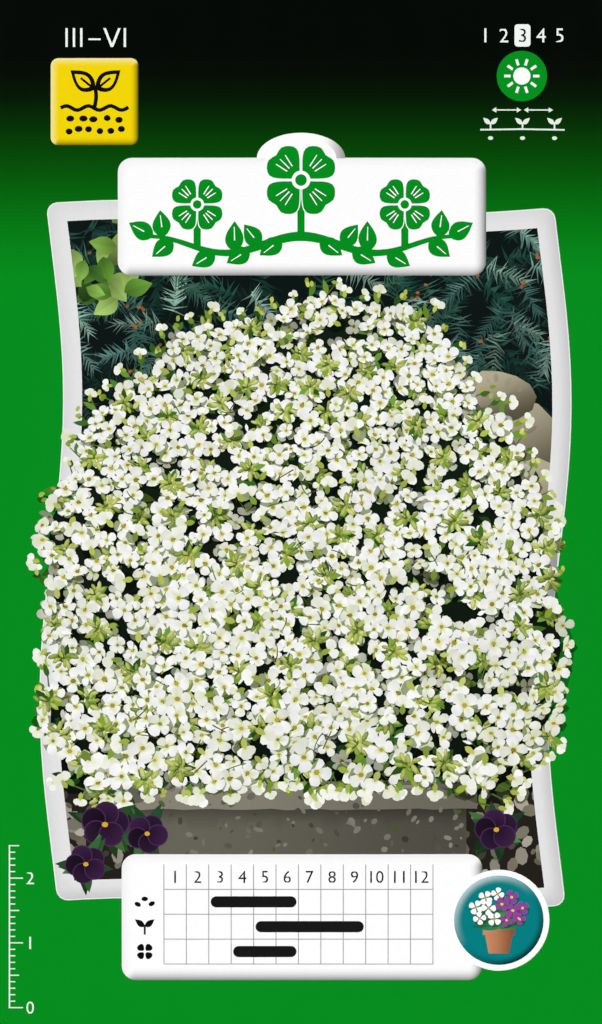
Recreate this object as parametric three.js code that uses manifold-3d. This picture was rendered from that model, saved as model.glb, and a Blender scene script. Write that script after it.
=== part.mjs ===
// A seed packet lying on its back: a folded and glued paper envelope that holds a
// heat-sealed foil sachet with a portion of flower seeds.
// Millimetres, +Z up. The origin is the centre of the footprint, on the surface that
// the packet lies on. +Y points to the packet's top edge, and the printed front faces +Z.

import * as THREE from "three";
import Module from "manifold-3d";
import { mergeVertices } from "three/addons/utils/BufferGeometryUtils.js";

const wasm = await Module();
wasm.setup();

// Driving dimensions of the envelope
const width = 94;
const height = 160;
const paper = 0.15;
const glueFilm = 0.1;
const frontEdgeLevel = 0.95;
const frontRise = 1.75;
const riseCentreY = -8;
const topFlapLength = 20;
const bottomFlapLength = 14;
const sideFlapLength = 12;
const flapInset = 1;
const flapTaper = 0.12;
const backEdgeInset = 1;
const wingEndGap = 0.4;
const foldSteps = 6;
const seamGlueBreadth = 7;
const seamGlueEndGap = 10;
const flapGlueBreadth = 7;
const flapGlueEndGap = 11;
const flapGlueReach = 0.6;

// Driving dimensions of the sachet and the seeds
const foil = 0.1;
const sachetWidth = 68;
const sachetHeight = 104;
const sachetCentreY = -10;
const sachetSeal = 7;
const sachetLift = 0.05;
const pocketRise = 1.5;
const seedLength = 1.4;
const seedWidth = 1.1;
const seedThickness = 0.6;
const seedCount = 84;
const heapHalfWidth = 13;
const heapHalfHeight = 9;
const heapCentreY = -24;
const heapFloor = 0.22;
const seedSink = 0.18;
const seedTip = 0.25;
const bedLift = 0.02;

// Middle levels of the paper layers, from the surface up
const flapLevel = paper / 2;
const backLevel = flapLevel + paper + glueFilm;
const sideFlapLevel = backLevel + paper + glueFilm;

// Each fold is a half turn from the front panel's level to the level of what it carries.
const leftRadius = (frontEdgeLevel - backLevel) / 2;
const rightRadius = (frontEdgeLevel - sideFlapLevel) / 2;
const flapRadius = (frontEdgeLevel - flapLevel) / 2;

// The front panel ends where its folds begin.
const frontLeft = -(width / 2 - leftRadius - paper / 2);
const frontRight = width / 2 - rightRadius - paper / 2;
const frontTop = height / 2 - flapRadius - paper / 2;
const frontBottom = -frontTop;
const backLength = width / 2 - backEdgeInset - frontLeft;
const flapHalfWidth = width / 2 - flapInset;
const wingTop = frontTop - wingEndGap;

function materialOf(colour, roughness, metalness = 0) {
  return new THREE.MeshStandardMaterial({ color: colour, roughness, metalness });
}

const materials = {
  printedPaper: materialOf(0x078c1e, 0.4),
  glue: materialOf(0xe9e2c8, 0.5),
  foil: materialOf(0xc9ccd0, 0.3, 0.9),
  seed: materialOf(0x7a4a22, 0.7),
};

// Evenly spaced values from one end to the other, both included.
function steps(from, to, count) {
  return Array.from({ length: count + 1 }, (_, i) => from + ((to - from) * i) / count);
}

// Joins lists of rising values that share their end values.
function chain(...lists) {
  return lists.flatMap((list, i) => (i ? list.slice(1) : list));
}

// A sheet of paper or foil as one closed solid. The flat sheet is a grid of cells over
// the stations across and along it, and hasCell says which cells it was cut to. place
// puts a point of the flat sheet in space, on the outer (side 1) or inner (side -1) face.
function sheetSolid(across, along, hasCell, place) {
  const positions = [];
  const numbers = new Map();
  const vertex = (i, j, side) => {
    const key = `${i},${j},${side}`;
    if (!numbers.has(key)) {
      numbers.set(key, positions.length / 3);
      positions.push(...place(across[i], along[j], side));
    }
    return numbers.get(key);
  };
  const cellAt = (i, j) =>
    i >= 0 &&
    j >= 0 &&
    i < across.length - 1 &&
    j < along.length - 1 &&
    hasCell((across[i] + across[i + 1]) / 2, (along[j] + along[j + 1]) / 2);
  const faces = [];
  const quad = (a, b, c, d) => faces.push(a, b, c, a, c, d);
  const rim = (i0, j0, i1, j1) =>
    quad(vertex(i0, j0, -1), vertex(i1, j1, -1), vertex(i1, j1, 1), vertex(i0, j0, 1));

  for (let i = 0; i < across.length - 1; i++) {
    for (let j = 0; j < along.length - 1; j++) {
      if (!cellAt(i, j)) continue;
      quad(vertex(i, j, 1), vertex(i + 1, j, 1), vertex(i + 1, j + 1, 1), vertex(i, j + 1, 1));
      quad(vertex(i, j, -1), vertex(i, j + 1, -1), vertex(i + 1, j + 1, -1), vertex(i + 1, j, -1));
      if (!cellAt(i, j - 1)) rim(i, j, i + 1, j);
      if (!cellAt(i + 1, j)) rim(i + 1, j, i + 1, j + 1);
      if (!cellAt(i, j + 1)) rim(i + 1, j + 1, i, j + 1);
      if (!cellAt(i - 1, j)) rim(i, j + 1, i, j);
    }
  }
  const geometry = new THREE.BufferGeometry();
  geometry.setAttribute("position", new THREE.Float32BufferAttribute(positions, 3));
  geometry.setIndex(faces);
  geometry.computeVertexNormals();
  return geometry;
}

// 1 in the middle, 0 at both ends, level at each.
function swell(value, low, high, centre) {
  const reach = value < centre ? centre - low : high - centre;
  const share = Math.min(1, Math.abs(value - centre) / reach);
  return Math.pow(1 - share * share, 1.5);
}

// How far the front panel stands above its edges, over the sachet inside.
function frontBulge(x, y) {
  return (
    frontRise *
    swell(x, frontLeft, frontRight, 0) *
    swell(y, frontBottom, frontTop, riseCentreY)
  );
}

// A point past a fold: round the half turn, then back under the front panel.
// Gives the reach past the fold's start and the level.
function pastFold(distance, radius, offset) {
  const arc = Math.PI * radius;
  if (distance < arc) {
    const angle = distance / radius;
    return {
      reach: (radius + offset) * Math.sin(angle),
      level: frontEdgeLevel - radius + (radius + offset) * Math.cos(angle),
      flat: 0,
    };
  }
  const flat = distance - arc;
  return { reach: -flat, level: frontEdgeLevel - 2 * radius - offset, flat };
}

// The folded blank. u runs across the flat blank and v along it, both from the middle
// of the front panel.
function placeOnEnvelope(u, v, side) {
  const offset = (side * paper) / 2;
  if (v > frontTop || v < frontBottom) {
    const top = v > frontTop;
    const past = pastFold(top ? v - frontTop : frontBottom - v, flapRadius, offset);
    const y = (top ? 1 : -1) * (frontTop + past.reach);
    return [u - Math.sign(u) * past.flat * flapTaper, y, past.level];
  }
  if (u > frontRight) {
    const past = pastFold(u - frontRight, rightRadius, offset);
    return [frontRight + past.reach, v - Math.sign(v) * past.flat * flapTaper, past.level];
  }
  if (u < frontLeft) {
    const past = pastFold(frontLeft - u, leftRadius, offset);
    return [frontLeft - past.reach, v, past.level];
  }
  return [u, v, frontEdgeLevel + frontBulge(u, v) + offset];
}

// The blank's outline is a cross: the panels with their side flap run across it, and the
// front panel with its closing flaps runs along it.
function inEnvelope(u, v) {
  const inFront = u > frontLeft && u < frontRight && Math.abs(v) < frontTop;
  const inWings = Math.abs(v) < wingTop;
  const inFlaps = Math.abs(u) < flapHalfWidth;
  return inFront || inWings || inFlaps;
}

// One blank, folded: front panel, back panel on its left edge, side flap on its right
// edge, and a closing flap at the top and the bottom.
function makeEnvelope() {
  const leftArc = frontLeft - Math.PI * leftRadius;
  const rightArc = frontRight + Math.PI * rightRadius;
  const topArc = frontTop + Math.PI * flapRadius;
  const across = chain(
    steps(leftArc - backLength, leftArc, 2),
    steps(leftArc, frontLeft, foldSteps),
    [frontLeft, -flapHalfWidth],
    steps(-flapHalfWidth, flapHalfWidth, 14),
    [flapHalfWidth, frontRight],
    steps(frontRight, rightArc, foldSteps),
    [rightArc, rightArc + sideFlapLength],
  );
  const along = chain(
    [-topArc - bottomFlapLength, -topArc],
    steps(-topArc, frontBottom, foldSteps),
    [frontBottom, -wingTop],
    steps(-wingTop, wingTop, 20),
    [wingTop, frontTop],
    steps(frontTop, topArc, foldSteps),
    [topArc, topArc + topFlapLength],
  );
  return sheetSolid(across, along, inEnvelope, placeOnEnvelope);
}

// A strip of dried adhesive with rounded ends, between two layers of paper.
function makeGlueStrip(length, breadth, level) {
  const radius = breadth / 2;
  const straight = length / 2 - radius;
  const outline = new THREE.Shape();
  outline.moveTo(-straight, -radius);
  outline.lineTo(straight, -radius);
  outline.absarc(straight, 0, radius, -Math.PI / 2, Math.PI / 2, false);
  outline.lineTo(-straight, radius);
  outline.absarc(-straight, 0, radius, Math.PI / 2, (3 * Math.PI) / 2, false);
  const strip = new THREE.ExtrudeGeometry(outline, {
    depth: glueFilm,
    bevelEnabled: false,
    curveSegments: 6,
  });
  return strip.translate(0, 0, level);
}

// Levels of the sachet's two foils, which meet in the seal round the pocket
const lowerFoilLevel = backLevel + paper / 2 + sachetLift + foil / 2;
const upperFoilLevel = lowerFoilLevel + foil;
const pocketHalfWidth = sachetWidth / 2 - sachetSeal;
const pocketHalfHeight = sachetHeight / 2 - sachetSeal;

function pocketBulge(x, y) {
  if (Math.abs(x) >= pocketHalfWidth || Math.abs(y) >= pocketHalfHeight) return 0;
  const acrossShare = 1 - Math.pow(x / pocketHalfWidth, 2);
  const alongShare = 1 - Math.pow(y / pocketHalfHeight, 2);
  return pocketRise * Math.pow(acrossShare * alongShare, 0.75);
}

function makeFoil(level, bulge, acrossCells, alongCells) {
  const across = chain(
    [-sachetWidth / 2, -pocketHalfWidth],
    steps(-pocketHalfWidth, pocketHalfWidth, acrossCells),
    [pocketHalfWidth, sachetWidth / 2],
  );
  const along = chain(
    [-sachetHeight / 2, -pocketHalfHeight],
    steps(-pocketHalfHeight, pocketHalfHeight, alongCells),
    [pocketHalfHeight, sachetHeight / 2],
  );
  const place = (u, v, side) => [
    u,
    v + sachetCentreY,
    level + bulge(u, v) + (side * foil) / 2,
  ];
  return sheetSolid(across, along, () => true, place);
}

// A closed three.js geometry as a solid for joining.
function solidOf(geometry) {
  const bare = geometry.clone();
  bare.deleteAttribute("normal");
  bare.deleteAttribute("uv");
  const merged = mergeVertices(bare, 1e-4);
  return new wasm.Manifold(
    new wasm.Mesh({
      numProp: 3,
      vertProperties: merged.attributes.position.array,
      triVerts: new Uint32Array(merged.index.array),
    }),
  );
}

function geometryOf(solid) {
  const mesh = solid.getMesh();
  const geometry = new THREE.BufferGeometry();
  geometry.setAttribute("position", new THREE.BufferAttribute(mesh.vertProperties, 3));
  geometry.setIndex(new THREE.BufferAttribute(mesh.triVerts, 1));
  geometry.computeVertexNormals();
  return geometry;
}

// A seeded draw from 0 to 1, the same at each run.
function drawFrom(seed) {
  let state = seed;
  return () => {
    state = (state * 16807) % 2147483647;
    return state / 2147483647;
  };
}

// The portion of seeds as a flat heap: small oval seeds on a spiral, each turned and
// tipped by a seeded draw, sunk into a thin bed of the seeds below them.
function makeSeeds() {
  const draw = drawFrom(2207);
  const goldenAngle = Math.PI * (3 - Math.sqrt(5));
  const bedLevel = lowerFoilLevel + foil / 2 + bedLift;
  const seedLevel = bedLevel + heapFloor + seedThickness / 2 - seedSink;
  const bed = new THREE.CylinderGeometry(1, 1, heapFloor, 28)
    .rotateX(Math.PI / 2)
    .scale(heapHalfWidth, heapHalfHeight, 1)
    .translate(0, heapCentreY, bedLevel + heapFloor / 2);
  let heap = solidOf(bed);
  for (let n = 0; n < seedCount; n++) {
    const share = Math.sqrt((n + 0.5) / seedCount);
    const angle = n * goldenAngle;
    const seed = new THREE.SphereGeometry(0.5, 6, 4)
      .scale(seedLength, seedWidth, seedThickness)
      .rotateX((2 * draw() - 1) * seedTip)
      .rotateZ(draw() * Math.PI * 2)
      .translate(
        share * heapHalfWidth * Math.cos(angle),
        heapCentreY + share * heapHalfHeight * Math.sin(angle),
        seedLevel,
      );
    heap = heap.add(solidOf(seed));
  }
  return geometryOf(heap);
}

function addPiece(group, name, geometry, material) {
  const piece = new THREE.Mesh(geometry, material);
  piece.name = name;
  group.add(piece);
  return piece;
}

function makePacket() {
  const packet = new THREE.Group();
  addPiece(packet, "envelope", makeEnvelope(), materials.printedPaper);

  const seamLength = height - 2 * seamGlueEndGap;
  const seamStrip = makeGlueStrip(seamLength, seamGlueBreadth, backLevel + paper / 2);
  const seam = addPiece(packet, "seam_glue", seamStrip, materials.glue);
  seam.rotation.z = Math.PI / 2;
  seam.position.x = frontRight - sideFlapLength / 2;

  const flapGlueLength = width - 2 * flapGlueEndGap;
  const flapGlueLevel = flapLevel + paper / 2;
  const topStrip = makeGlueStrip(flapGlueLength, flapGlueBreadth, flapGlueLevel);
  const top = addPiece(packet, "top_flap_glue", topStrip, materials.glue);
  top.position.y = frontTop - flapGlueReach * topFlapLength;
  const bottomStrip = makeGlueStrip(flapGlueLength, flapGlueBreadth, flapGlueLevel);
  const bottom = addPiece(packet, "bottom_flap_glue", bottomStrip, materials.glue);
  bottom.position.y = frontBottom + flapGlueReach * bottomFlapLength;

  const lower = makeFoil(lowerFoilLevel, () => 0, 1, 1);
  addPiece(packet, "sachet_lower_foil", lower, materials.foil);
  const upper = makeFoil(upperFoilLevel, pocketBulge, 12, 16);
  addPiece(packet, "sachet_upper_foil", upper, materials.foil);
  addPiece(packet, "seeds", makeSeeds(), materials.seed);
  return packet;
}

const packet = makePacket();
export default packet;
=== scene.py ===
import random
from math import atan2, ceil, copysign, cos, dist, exp, hypot, log, pi, radians, sin, sqrt
import bpy
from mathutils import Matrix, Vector, noise
from mathutils.bvhtree import BVHTree
from mathutils.geometry import convex_hull_2d, delaunay_2d_cdt


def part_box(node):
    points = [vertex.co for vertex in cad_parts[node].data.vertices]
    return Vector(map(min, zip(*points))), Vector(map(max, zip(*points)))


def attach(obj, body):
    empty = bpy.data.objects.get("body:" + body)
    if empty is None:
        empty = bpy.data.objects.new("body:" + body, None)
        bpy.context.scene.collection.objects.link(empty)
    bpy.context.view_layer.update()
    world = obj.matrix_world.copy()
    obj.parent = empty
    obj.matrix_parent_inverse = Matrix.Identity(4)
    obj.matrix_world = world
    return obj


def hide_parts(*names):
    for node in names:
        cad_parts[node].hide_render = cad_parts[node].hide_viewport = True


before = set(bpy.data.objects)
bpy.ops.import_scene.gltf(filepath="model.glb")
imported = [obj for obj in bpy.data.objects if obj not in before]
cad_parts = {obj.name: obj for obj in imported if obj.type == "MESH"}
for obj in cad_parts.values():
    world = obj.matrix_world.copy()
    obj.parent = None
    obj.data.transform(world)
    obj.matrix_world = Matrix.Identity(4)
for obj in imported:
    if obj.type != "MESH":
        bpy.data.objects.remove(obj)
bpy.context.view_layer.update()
mm = 0.001  # every size below is in millimetres and is scaled once, where its mesh is made


def linear(hexColour):  # sRGB hex to the linear values that Blender mixes
    channels = [int(hexColour[i:i + 2], 16) / 255 for i in (1, 3, 5)]
    return tuple(c / 12.92 if c <= 0.04045 else ((c + 0.055) / 1.055) ** 2.4 for c in channels)


def mix(a, b, share):
    return tuple(p + (q - p) * share for p, q in zip(a, b))


def times(colour, factor):
    return tuple(c * factor for c in colour)


def tinted(colour, filterTone):
    return tuple(c * f for c, f in zip(colour, filterTone))


def anyTurn(rng):
    return rng.uniform(0, 2 * pi)


def pick(rng, tones):  # one of the tones, by a draw
    return linear(rng.choice(tones))


def ease(value, low, high):  # 0 below low, 1 above high, smooth between
    share = max(0.0, min(1.0, (value - low) / (high - low)))
    return share * share * (3 - 2 * share)


def newObject(data):
    found = bpy.data.objects.new(data.name, data)
    bpy.context.scene.collection.objects.link(found)
    return found


def addNode(tree, kind, settings=None, links=None):
    node = tree.nodes.new(kind)
    for name, value in (settings or {}).items():
        if name in node.inputs:
            node.inputs[name].default_value = value
        else:
            setattr(node, name, value)
    for name, socket in (links or {}).items():
        tree.links.new(socket, node.inputs[name])
    return node


# The paper blank, printed flat and then folded, as the CAD envelope is
envelopeLow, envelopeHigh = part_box("envelope")
blank = {
    "width": round((envelopeHigh.x - envelopeLow.x) / mm, 3),
    "height": round((envelopeHigh.y - envelopeLow.y) / mm, 3),
    "paper": 0.15,  # coated paper, 120 g a square metre
    "glueFilm": 0.1,
    "edgeLevel": 0.95,  # of the front panel at its folds
    "rise": 1.75,  # of the front over the sachet
    "riseCentreY": -8,
    "topFlap": 20,
    "bottomFlap": 14,
    "sideFlap": 12,
    "flapInset": 1,
    "flapTaper": 0.12,
    "backInset": 1,
    "wingEndGap": 0.4,
    "cornerRadius": 2.5,  # of the flaps, cut round by the die
    "foldSteps": 8,
    "gridStep": 2.4,  # between the points that let the sheet bend
}
halfSheet = blank["paper"] / 2
flapLevel = halfSheet
backLevel = flapLevel + blank["paper"] + blank["glueFilm"]
sideLevel = backLevel + blank["paper"] + blank["glueFilm"]
leftRadius = (blank["edgeLevel"] - backLevel) / 2
rightRadius = (blank["edgeLevel"] - sideLevel) / 2
flapRadius = (blank["edgeLevel"] - flapLevel) / 2
frontLeft = -(blank["width"] / 2 - leftRadius - halfSheet)
frontRight = blank["width"] / 2 - rightRadius - halfSheet
frontTop = blank["height"] / 2 - flapRadius - halfSheet
frontBottom = -frontTop
backLength = blank["width"] / 2 - blank["backInset"] - frontLeft
flapHalf = blank["width"] / 2 - blank["flapInset"]
wingTop = frontTop - blank["wingEndGap"]
backStart = frontLeft - pi * leftRadius
backEnd = backStart - backLength
sideEnd = frontRight + pi * rightRadius + blank["sideFlap"]
topEnd = frontTop + pi * flapRadius + blank["topFlap"]
bottomEnd = frontBottom - pi * flapRadius - blank["bottomFlap"]

# How the paper lies over what is inside, in millimetres of height
relief = {
    "sachetHalf": (34, 52),
    "sachetCentreY": -10,
    "sachetStep": 0.07,  # the sachet's edge shows through the paper
    "sachetBlur": 1.6,
    "cockle": 0.035,  # slow waves of paper that has taken up damp
    "cockleLength": (31, 23),
    "cockleTurn": (6.3, 2.9),
    "cockleSlant": (41, 17),
    "pucker": 0.035,  # short waves where the flat ends meet the pillow
    "puckerLength": 9,
    "puckerReach": 14,
    "seedBump": 0.05,
    "seedBumps": 46,
    "seedBumpSpread": 0.7,
    "seedHeap": (0, -24, 12, 8),
    "edgeFade": 5,
}
reliefDraw = random.Random(41)
seedBumps = []
for _ in range(relief["seedBumps"]):
    angle, reach = reliefDraw.uniform(0, 2 * pi), sqrt(reliefDraw.random())
    heapX, heapY, heapWide, heapHigh = relief["seedHeap"]
    seedBumps.append((heapX + heapWide * reach * cos(angle),
                      heapY + heapHigh * reach * sin(angle), reliefDraw.uniform(0.6, 1)))


def swell(value, low, high, centre):
    reach = centre - low if value < centre else high - centre
    share = min(1.0, abs(value - centre) / reach)
    return (1 - share * share) ** 1.5


def frontHeight(x, y):
    pillow = swell(x, frontLeft, frontRight, 0) * swell(y, frontBottom, frontTop, blank["riseCentreY"])
    edge = min(x - frontLeft, frontRight - x, y - frontBottom, frontTop - y)
    fade = ease(edge, 0, relief["edgeFade"])
    if fade == 0:
        return blank["rise"] * pillow
    wide, high = relief["sachetHalf"]
    inside = min(wide - abs(x), high - abs(y - relief["sachetCentreY"]))
    step = relief["sachetStep"] * ease(inside, -relief["sachetBlur"], relief["sachetBlur"])
    longWave, shortWave = relief["cockleLength"]
    turnX, turnY = relief["cockleTurn"]
    slantY, slantX = relief["cockleSlant"]
    waves = sin(x / longWave * turnX + y / slantY) + sin(y / shortWave * turnY - x / slantX)
    waves *= relief["cockle"]
    nearEnd = min(y - frontBottom, frontTop - y)
    pucker = relief["pucker"] * sin(x / relief["puckerLength"] * 6.3 + 1.3 * sin(x / 11))
    pucker *= exp(-(nearEnd / relief["puckerReach"]) ** 2)
    bumps = 0
    heapX, heapY, heapWide, heapHigh = relief["seedHeap"]
    if abs(x - heapX) < heapWide + 3 and abs(y - heapY) < heapHigh + 3:
        for bumpX, bumpY, size in seedBumps:
            apart = (x - bumpX) ** 2 + (y - bumpY) ** 2
            bumps += size * exp(-apart / relief["seedBumpSpread"])
    return blank["rise"] * pillow + fade * (step + waves + pucker + relief["seedBump"] * min(1.5, bumps))


def pastFold(distance, radius, offset):  # round the half turn, then back under the front
    arc = pi * radius
    if distance < arc:
        angle = distance / radius
        reach = (radius + offset) * sin(angle)
        return reach, blank["edgeLevel"] - radius + (radius + offset) * cos(angle), 0
    return arc - distance, blank["edgeLevel"] - 2 * radius - offset, distance - arc


def tapered(place, edge, flat):  # a flap narrows evenly away from its fold
    return place * (1 - flat * blank["flapTaper"] / edge)


def placeOnPacket(u, v, side):  # side 1 is the printed face and -1 the inner one
    offset = side * halfSheet
    if v > frontTop or v < frontBottom:
        sign = 1 if v > frontTop else -1
        reach, level, flat = pastFold(abs(v) - frontTop, flapRadius, offset)
        return Vector((tapered(u, flapHalf, flat), sign * (frontTop + reach), level))
    if u > frontRight:
        reach, level, flat = pastFold(u - frontRight, rightRadius, offset)
        return Vector((frontRight + reach, tapered(v, wingTop, flat), level))
    if u < frontLeft:
        reach, level, _ = pastFold(frontLeft - u, leftRadius, offset)
        return Vector((frontLeft - reach, v, level))
    return Vector((u, v, blank["edgeLevel"] + frontHeight(u, v) + offset))


def normalOnPacket(u, v):
    step = 0.02
    across = placeOnPacket(u + step, v, 0) - placeOnPacket(u - step, v, 0)
    along = placeOnPacket(u, v + step, 0) - placeOnPacket(u, v - step, 0)
    return across.cross(along).normalized()


# The print: outlines with their ink, the lowest first
artwork = []
fineness = {
    "closeness": 2e-4,  # millimetres: outline points closer than this are one
    "smallestOutline": 0.004,
    "smallestSpot": 0.026,  # square millimetres: smaller spots take the ink round them
    "straight": 0.011,  # how far a point may stand off a straight edge
    "longestEdge": 4,
    "spill": (1.3, 0.05),  # an ink that covers more than its outline, by share and by area, ran out
    "gridInset": (0.25, 1.5),  # of the outer and the inner face from the cut edge
    "innerGrid": 1.6,  # the inner face is this much coarser
}
pureWhite = linear("#ffffff")


def areaOf(outline):
    return sum(a[0] * b[1] - b[0] * a[1] for a, b in zip(outline, outline[1:] + outline[:1])) / 2


def crosses(a, b, c, d):  # whether two straight lines cross
    one = (b[0] - a[0]) * (c[1] - a[1]) - (b[1] - a[1]) * (c[0] - a[0])
    two = (b[0] - a[0]) * (d[1] - a[1]) - (b[1] - a[1]) * (d[0] - a[0])
    if one * two > 0:
        return False
    three = (d[0] - c[0]) * (a[1] - c[1]) - (d[1] - c[1]) * (a[0] - c[0])
    four = (d[0] - c[0]) * (b[1] - c[1]) - (d[1] - c[1]) * (b[0] - c[0])
    return three * four <= 0


def cleaned(outline):  # turns anticlockwise and doesn't cross itself
    count = len(outline)
    lines = list(zip(outline, outline[1:] + outline[:1]))
    for i in range(count - 2):
        for j in range(i + 2, count - (i == 0)):
            if crosses(*lines[i], *lines[j]):
                outline = [outline[k] for k in convex_hull_2d([Vector(point) for point in outline])]
                return outline if areaOf(outline) > 0 else outline[::-1]
    return outline if areaOf(outline) > 0 else outline[::-1]


def draw(outline, ink, inside=None, isShade=False):  # ink is a colour, or a function of the place
    ready = cleaned(outline)
    if areaOf(ready) > fineness["smallestOutline"]:
        artwork.append((ready, ink, inside, isShade))
    return len(artwork) - 1


def shade(outline, tone, inside=None):  # darkens what is printed below it
    draw(outline, tone, inside, True)


def placed(points, x, y, turn):  # turned about the origin, then moved to x and y
    c, s = cos(turn), sin(turn)
    return [(x + px * c - py * s, y + px * s + py * c) for px, py in points]


def ellipse(x, y, wide, high, count=20, turn=0.0):
    angles = [2 * pi * i / count for i in range(count)]
    return placed([(wide * cos(a), high * sin(a)) for a in angles], x, y, turn)


def block(left, bottom, right, top):
    return [(left, bottom), (right, bottom), (right, top), (left, top)]


def spoke(x, y, turn, near, far):  # the two ends of a ray from x and y
    return [(x + reach * cos(turn), y + reach * sin(turn)) for reach in (near, far)]


def roundedBox(left, bottom, right, top, radius, count=6):
    found = []
    corners = ((right, bottom, -90), (right, top, 0), (left, top, 90), (left, bottom, 180))
    for x, y, start in corners:
        cx = x - copysign(radius, x - (left + right) / 2)
        cy = y - copysign(radius, y - (bottom + top) / 2)
        for i in range(count + 1):
            a = radians(start + 90 * i / count)
            found.append((cx + radius * cos(a), cy + radius * sin(a)))
    return found


def thickLine(points, breadth, tip=1.0):  # tip is the share of the breadth at the far end
    left, right = [], []
    for i, (x, y) in enumerate(points):
        ax, ay = points[max(0, i - 1)]
        bx, by = points[min(len(points) - 1, i + 1)]
        length = hypot(bx - ax, by - ay) or 1
        share = 1 + (tip - 1) * i / (len(points) - 1)
        nx, ny = -(by - ay) / length * breadth / 2 * share, (bx - ax) / length * breadth / 2 * share
        left.append((x + nx, y + ny))
        right.append((x - nx, y - ny))
    return left + right[::-1]


def leafOutline(x, y, turn, length, breadth, bend=0.0, count=5):
    upper, lower = [], []
    for i in range(1, count):
        t = i / count
        wide = breadth / 2 * sin(pi * t ** 0.8)
        upper.append((t * length, bend * length * t * t + wide))
        lower.append((t * length, bend * length * t * t - wide))
    return placed([(0, 0)] + lower + [(length, bend * length)] + upper[::-1], x, y, turn)


def halfLeaf(x, y, turn, length, breadth, side, bend, count=8):  # one side of the midrib
    rib = [(length * i / count, bend * length * (i / count) ** 2) for i in range(count + 1)]
    rim = []
    for i in range(count - 1, 0, -1):
        t = i / count
        rim.append((t * length, bend * length * t * t + side * breadth / 2 * sin(pi * t ** 0.8)))
    return placed(rib + rim, x, y, turn)


def leafPair(x, y, turn, length, breadth, ink, count):  # one leaf to each side, bent upwards
    draw(leafOutline(x, y, turn, length, breadth, 0.1, count), ink)
    draw(leafOutline(x, y, pi - turn, length, breadth, -0.1, count), ink)


def drawNumber(text, x, y, height, ink):  # plain figures, centred on x and standing on y
    curve = bpy.data.curves.new("figures", "FONT")
    curve.body = text
    curve.resolution_u = 3
    holder = newObject(curve)
    mesh = bpy.data.meshes.new_from_object(holder)
    xs, ys = [p.co.x for p in mesh.vertices], [p.co.y for p in mesh.vertices]
    scale = height / (max(ys) - min(ys))
    middle = (max(xs) + min(xs)) / 2
    for face in mesh.polygons:
        corners = [mesh.vertices[i].co for i in face.vertices]
        draw([(x + (p.x - middle) * scale, y + (p.y - min(ys)) * scale) for p in corners], ink)
    bpy.data.objects.remove(holder)
    bpy.data.curves.remove(curve)
    bpy.data.meshes.remove(mesh)


# Ground colour of the whole blank: black at the top, green from a third of the way down
ground = {
    "stops": [(-90, "#008d1c"), (33, "#008d1c"), (37, "#008c19"), (40.9, "#008416"), (44.8, "#007811"),
              (48.8, "#00680b"), (52.7, "#015605"), (56.6, "#014401"), (60.5, "#012f01"), (64.4, "#001800"),
              (68.3, "#010800"), (72, "#000401"), (110, "#000401")],
}
groundStops = [(level, linear(tone)) for level, tone in ground["stops"]]


def groundInk(u, v):
    for (low, a), (high, b) in zip(groundStops, groundStops[1:]):
        if v <= high:
            return mix(a, b, max(0.0, (v - low) / (high - low)))
    return groundStops[-1][1]


def drawGround():
    left, right = backEnd - 5, sideEnd + 5
    levels = [bottomEnd - 5] + [stop[0] for stop in groundStops[1:-1]] + [topEnd + 5]
    for low, high in zip(levels, levels[1:]):  # one band for each stretch of the gradient
        draw(block(left, low, right, high), groundInk)


# The white border round the picture: a plain band that waves like a flag
border = {
    "half": 39.7,
    "top": 47.6,
    "bottom": -61.4,
    "breadth": 3.0,
    "corner": 1.7,  # radius of its outer corners
    "step": 3.6,
    "shift": 0.7,
    "sway": 1.85,  # sideways, most at swayLevel
    "swayLevel": 17,
    "swayLength": 47,
    "lift": 1.15,  # up and down along the ends
    "liftPlace": -26,
    "liftLength": 44,
    "softCorner": 0.9,
    "glint": 0.16,  # bright line along its outer edge
    "glintTone": "#f1f3f1",
    "light": "#e6e5e6",
    "dark": "#c8c7c9",
    "inside": "#0b1613",
}


def borderShift(x, y):
    sway = border["sway"] * cos(pi * (y - border["swayLevel"]) / border["swayLength"])
    lift = border["lift"] * cos(pi * (x - border["liftPlace"]) / border["liftLength"])
    return border["shift"] + sway, lift


def borderOutline(inset):
    half, bottom, top = border["half"] - inset, border["bottom"] + inset, border["top"] - inset
    corners = [(half, bottom), (half, top), (-half, top), (-half, bottom)]
    if border["corner"] - inset > 0.1:
        corners = roundedBox(-half, bottom, half, top, border["corner"] - inset, 4)
    waved = []
    for (ax, ay), (bx, by) in zip(corners, corners[1:] + corners[:1]):
        count = max(1, round(hypot(bx - ax, by - ay) / border["step"]))
        for i in range(count):
            x, y = ax + (bx - ax) * i / count, ay + (by - ay) * i / count
            dx, dy = borderShift(x, y)
            waved.append((x + dx, y + dy))
    return waved


def drawBorder():
    light, dark, breadth = linear(border["light"]), linear(border["dark"]), border["breadth"]
    middle, high = (border["top"] + border["bottom"]) / 2, (border["top"] - border["bottom"]) / 2

    def ink(u, v):  # a slightly rounded band: its inner part is the lightest
        dx, dy = borderShift(u, v)
        x, y, soft = u - dx, v - dy, border["softCorner"]
        side = exp((abs(x) - border["half"]) / soft)
        end = exp((abs(y - middle) - high) / soft)
        inset = -soft * log(side + end)
        lit = (side * (x < 0) + end * (y > middle)) / (side + end)
        share = ease(inset / breadth, -0.1, 0.85)
        return mix(dark, light, share + (1 - share) * 0.6 * lit)

    draw(borderOutline(0), linear(border["glintTone"]))
    for inset in (border["glint"], breadth * 0.3, breadth * 0.65):
        draw(borderOutline(inset), ink)
    return draw(borderOutline(breadth), linear(border["inside"]))


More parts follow.
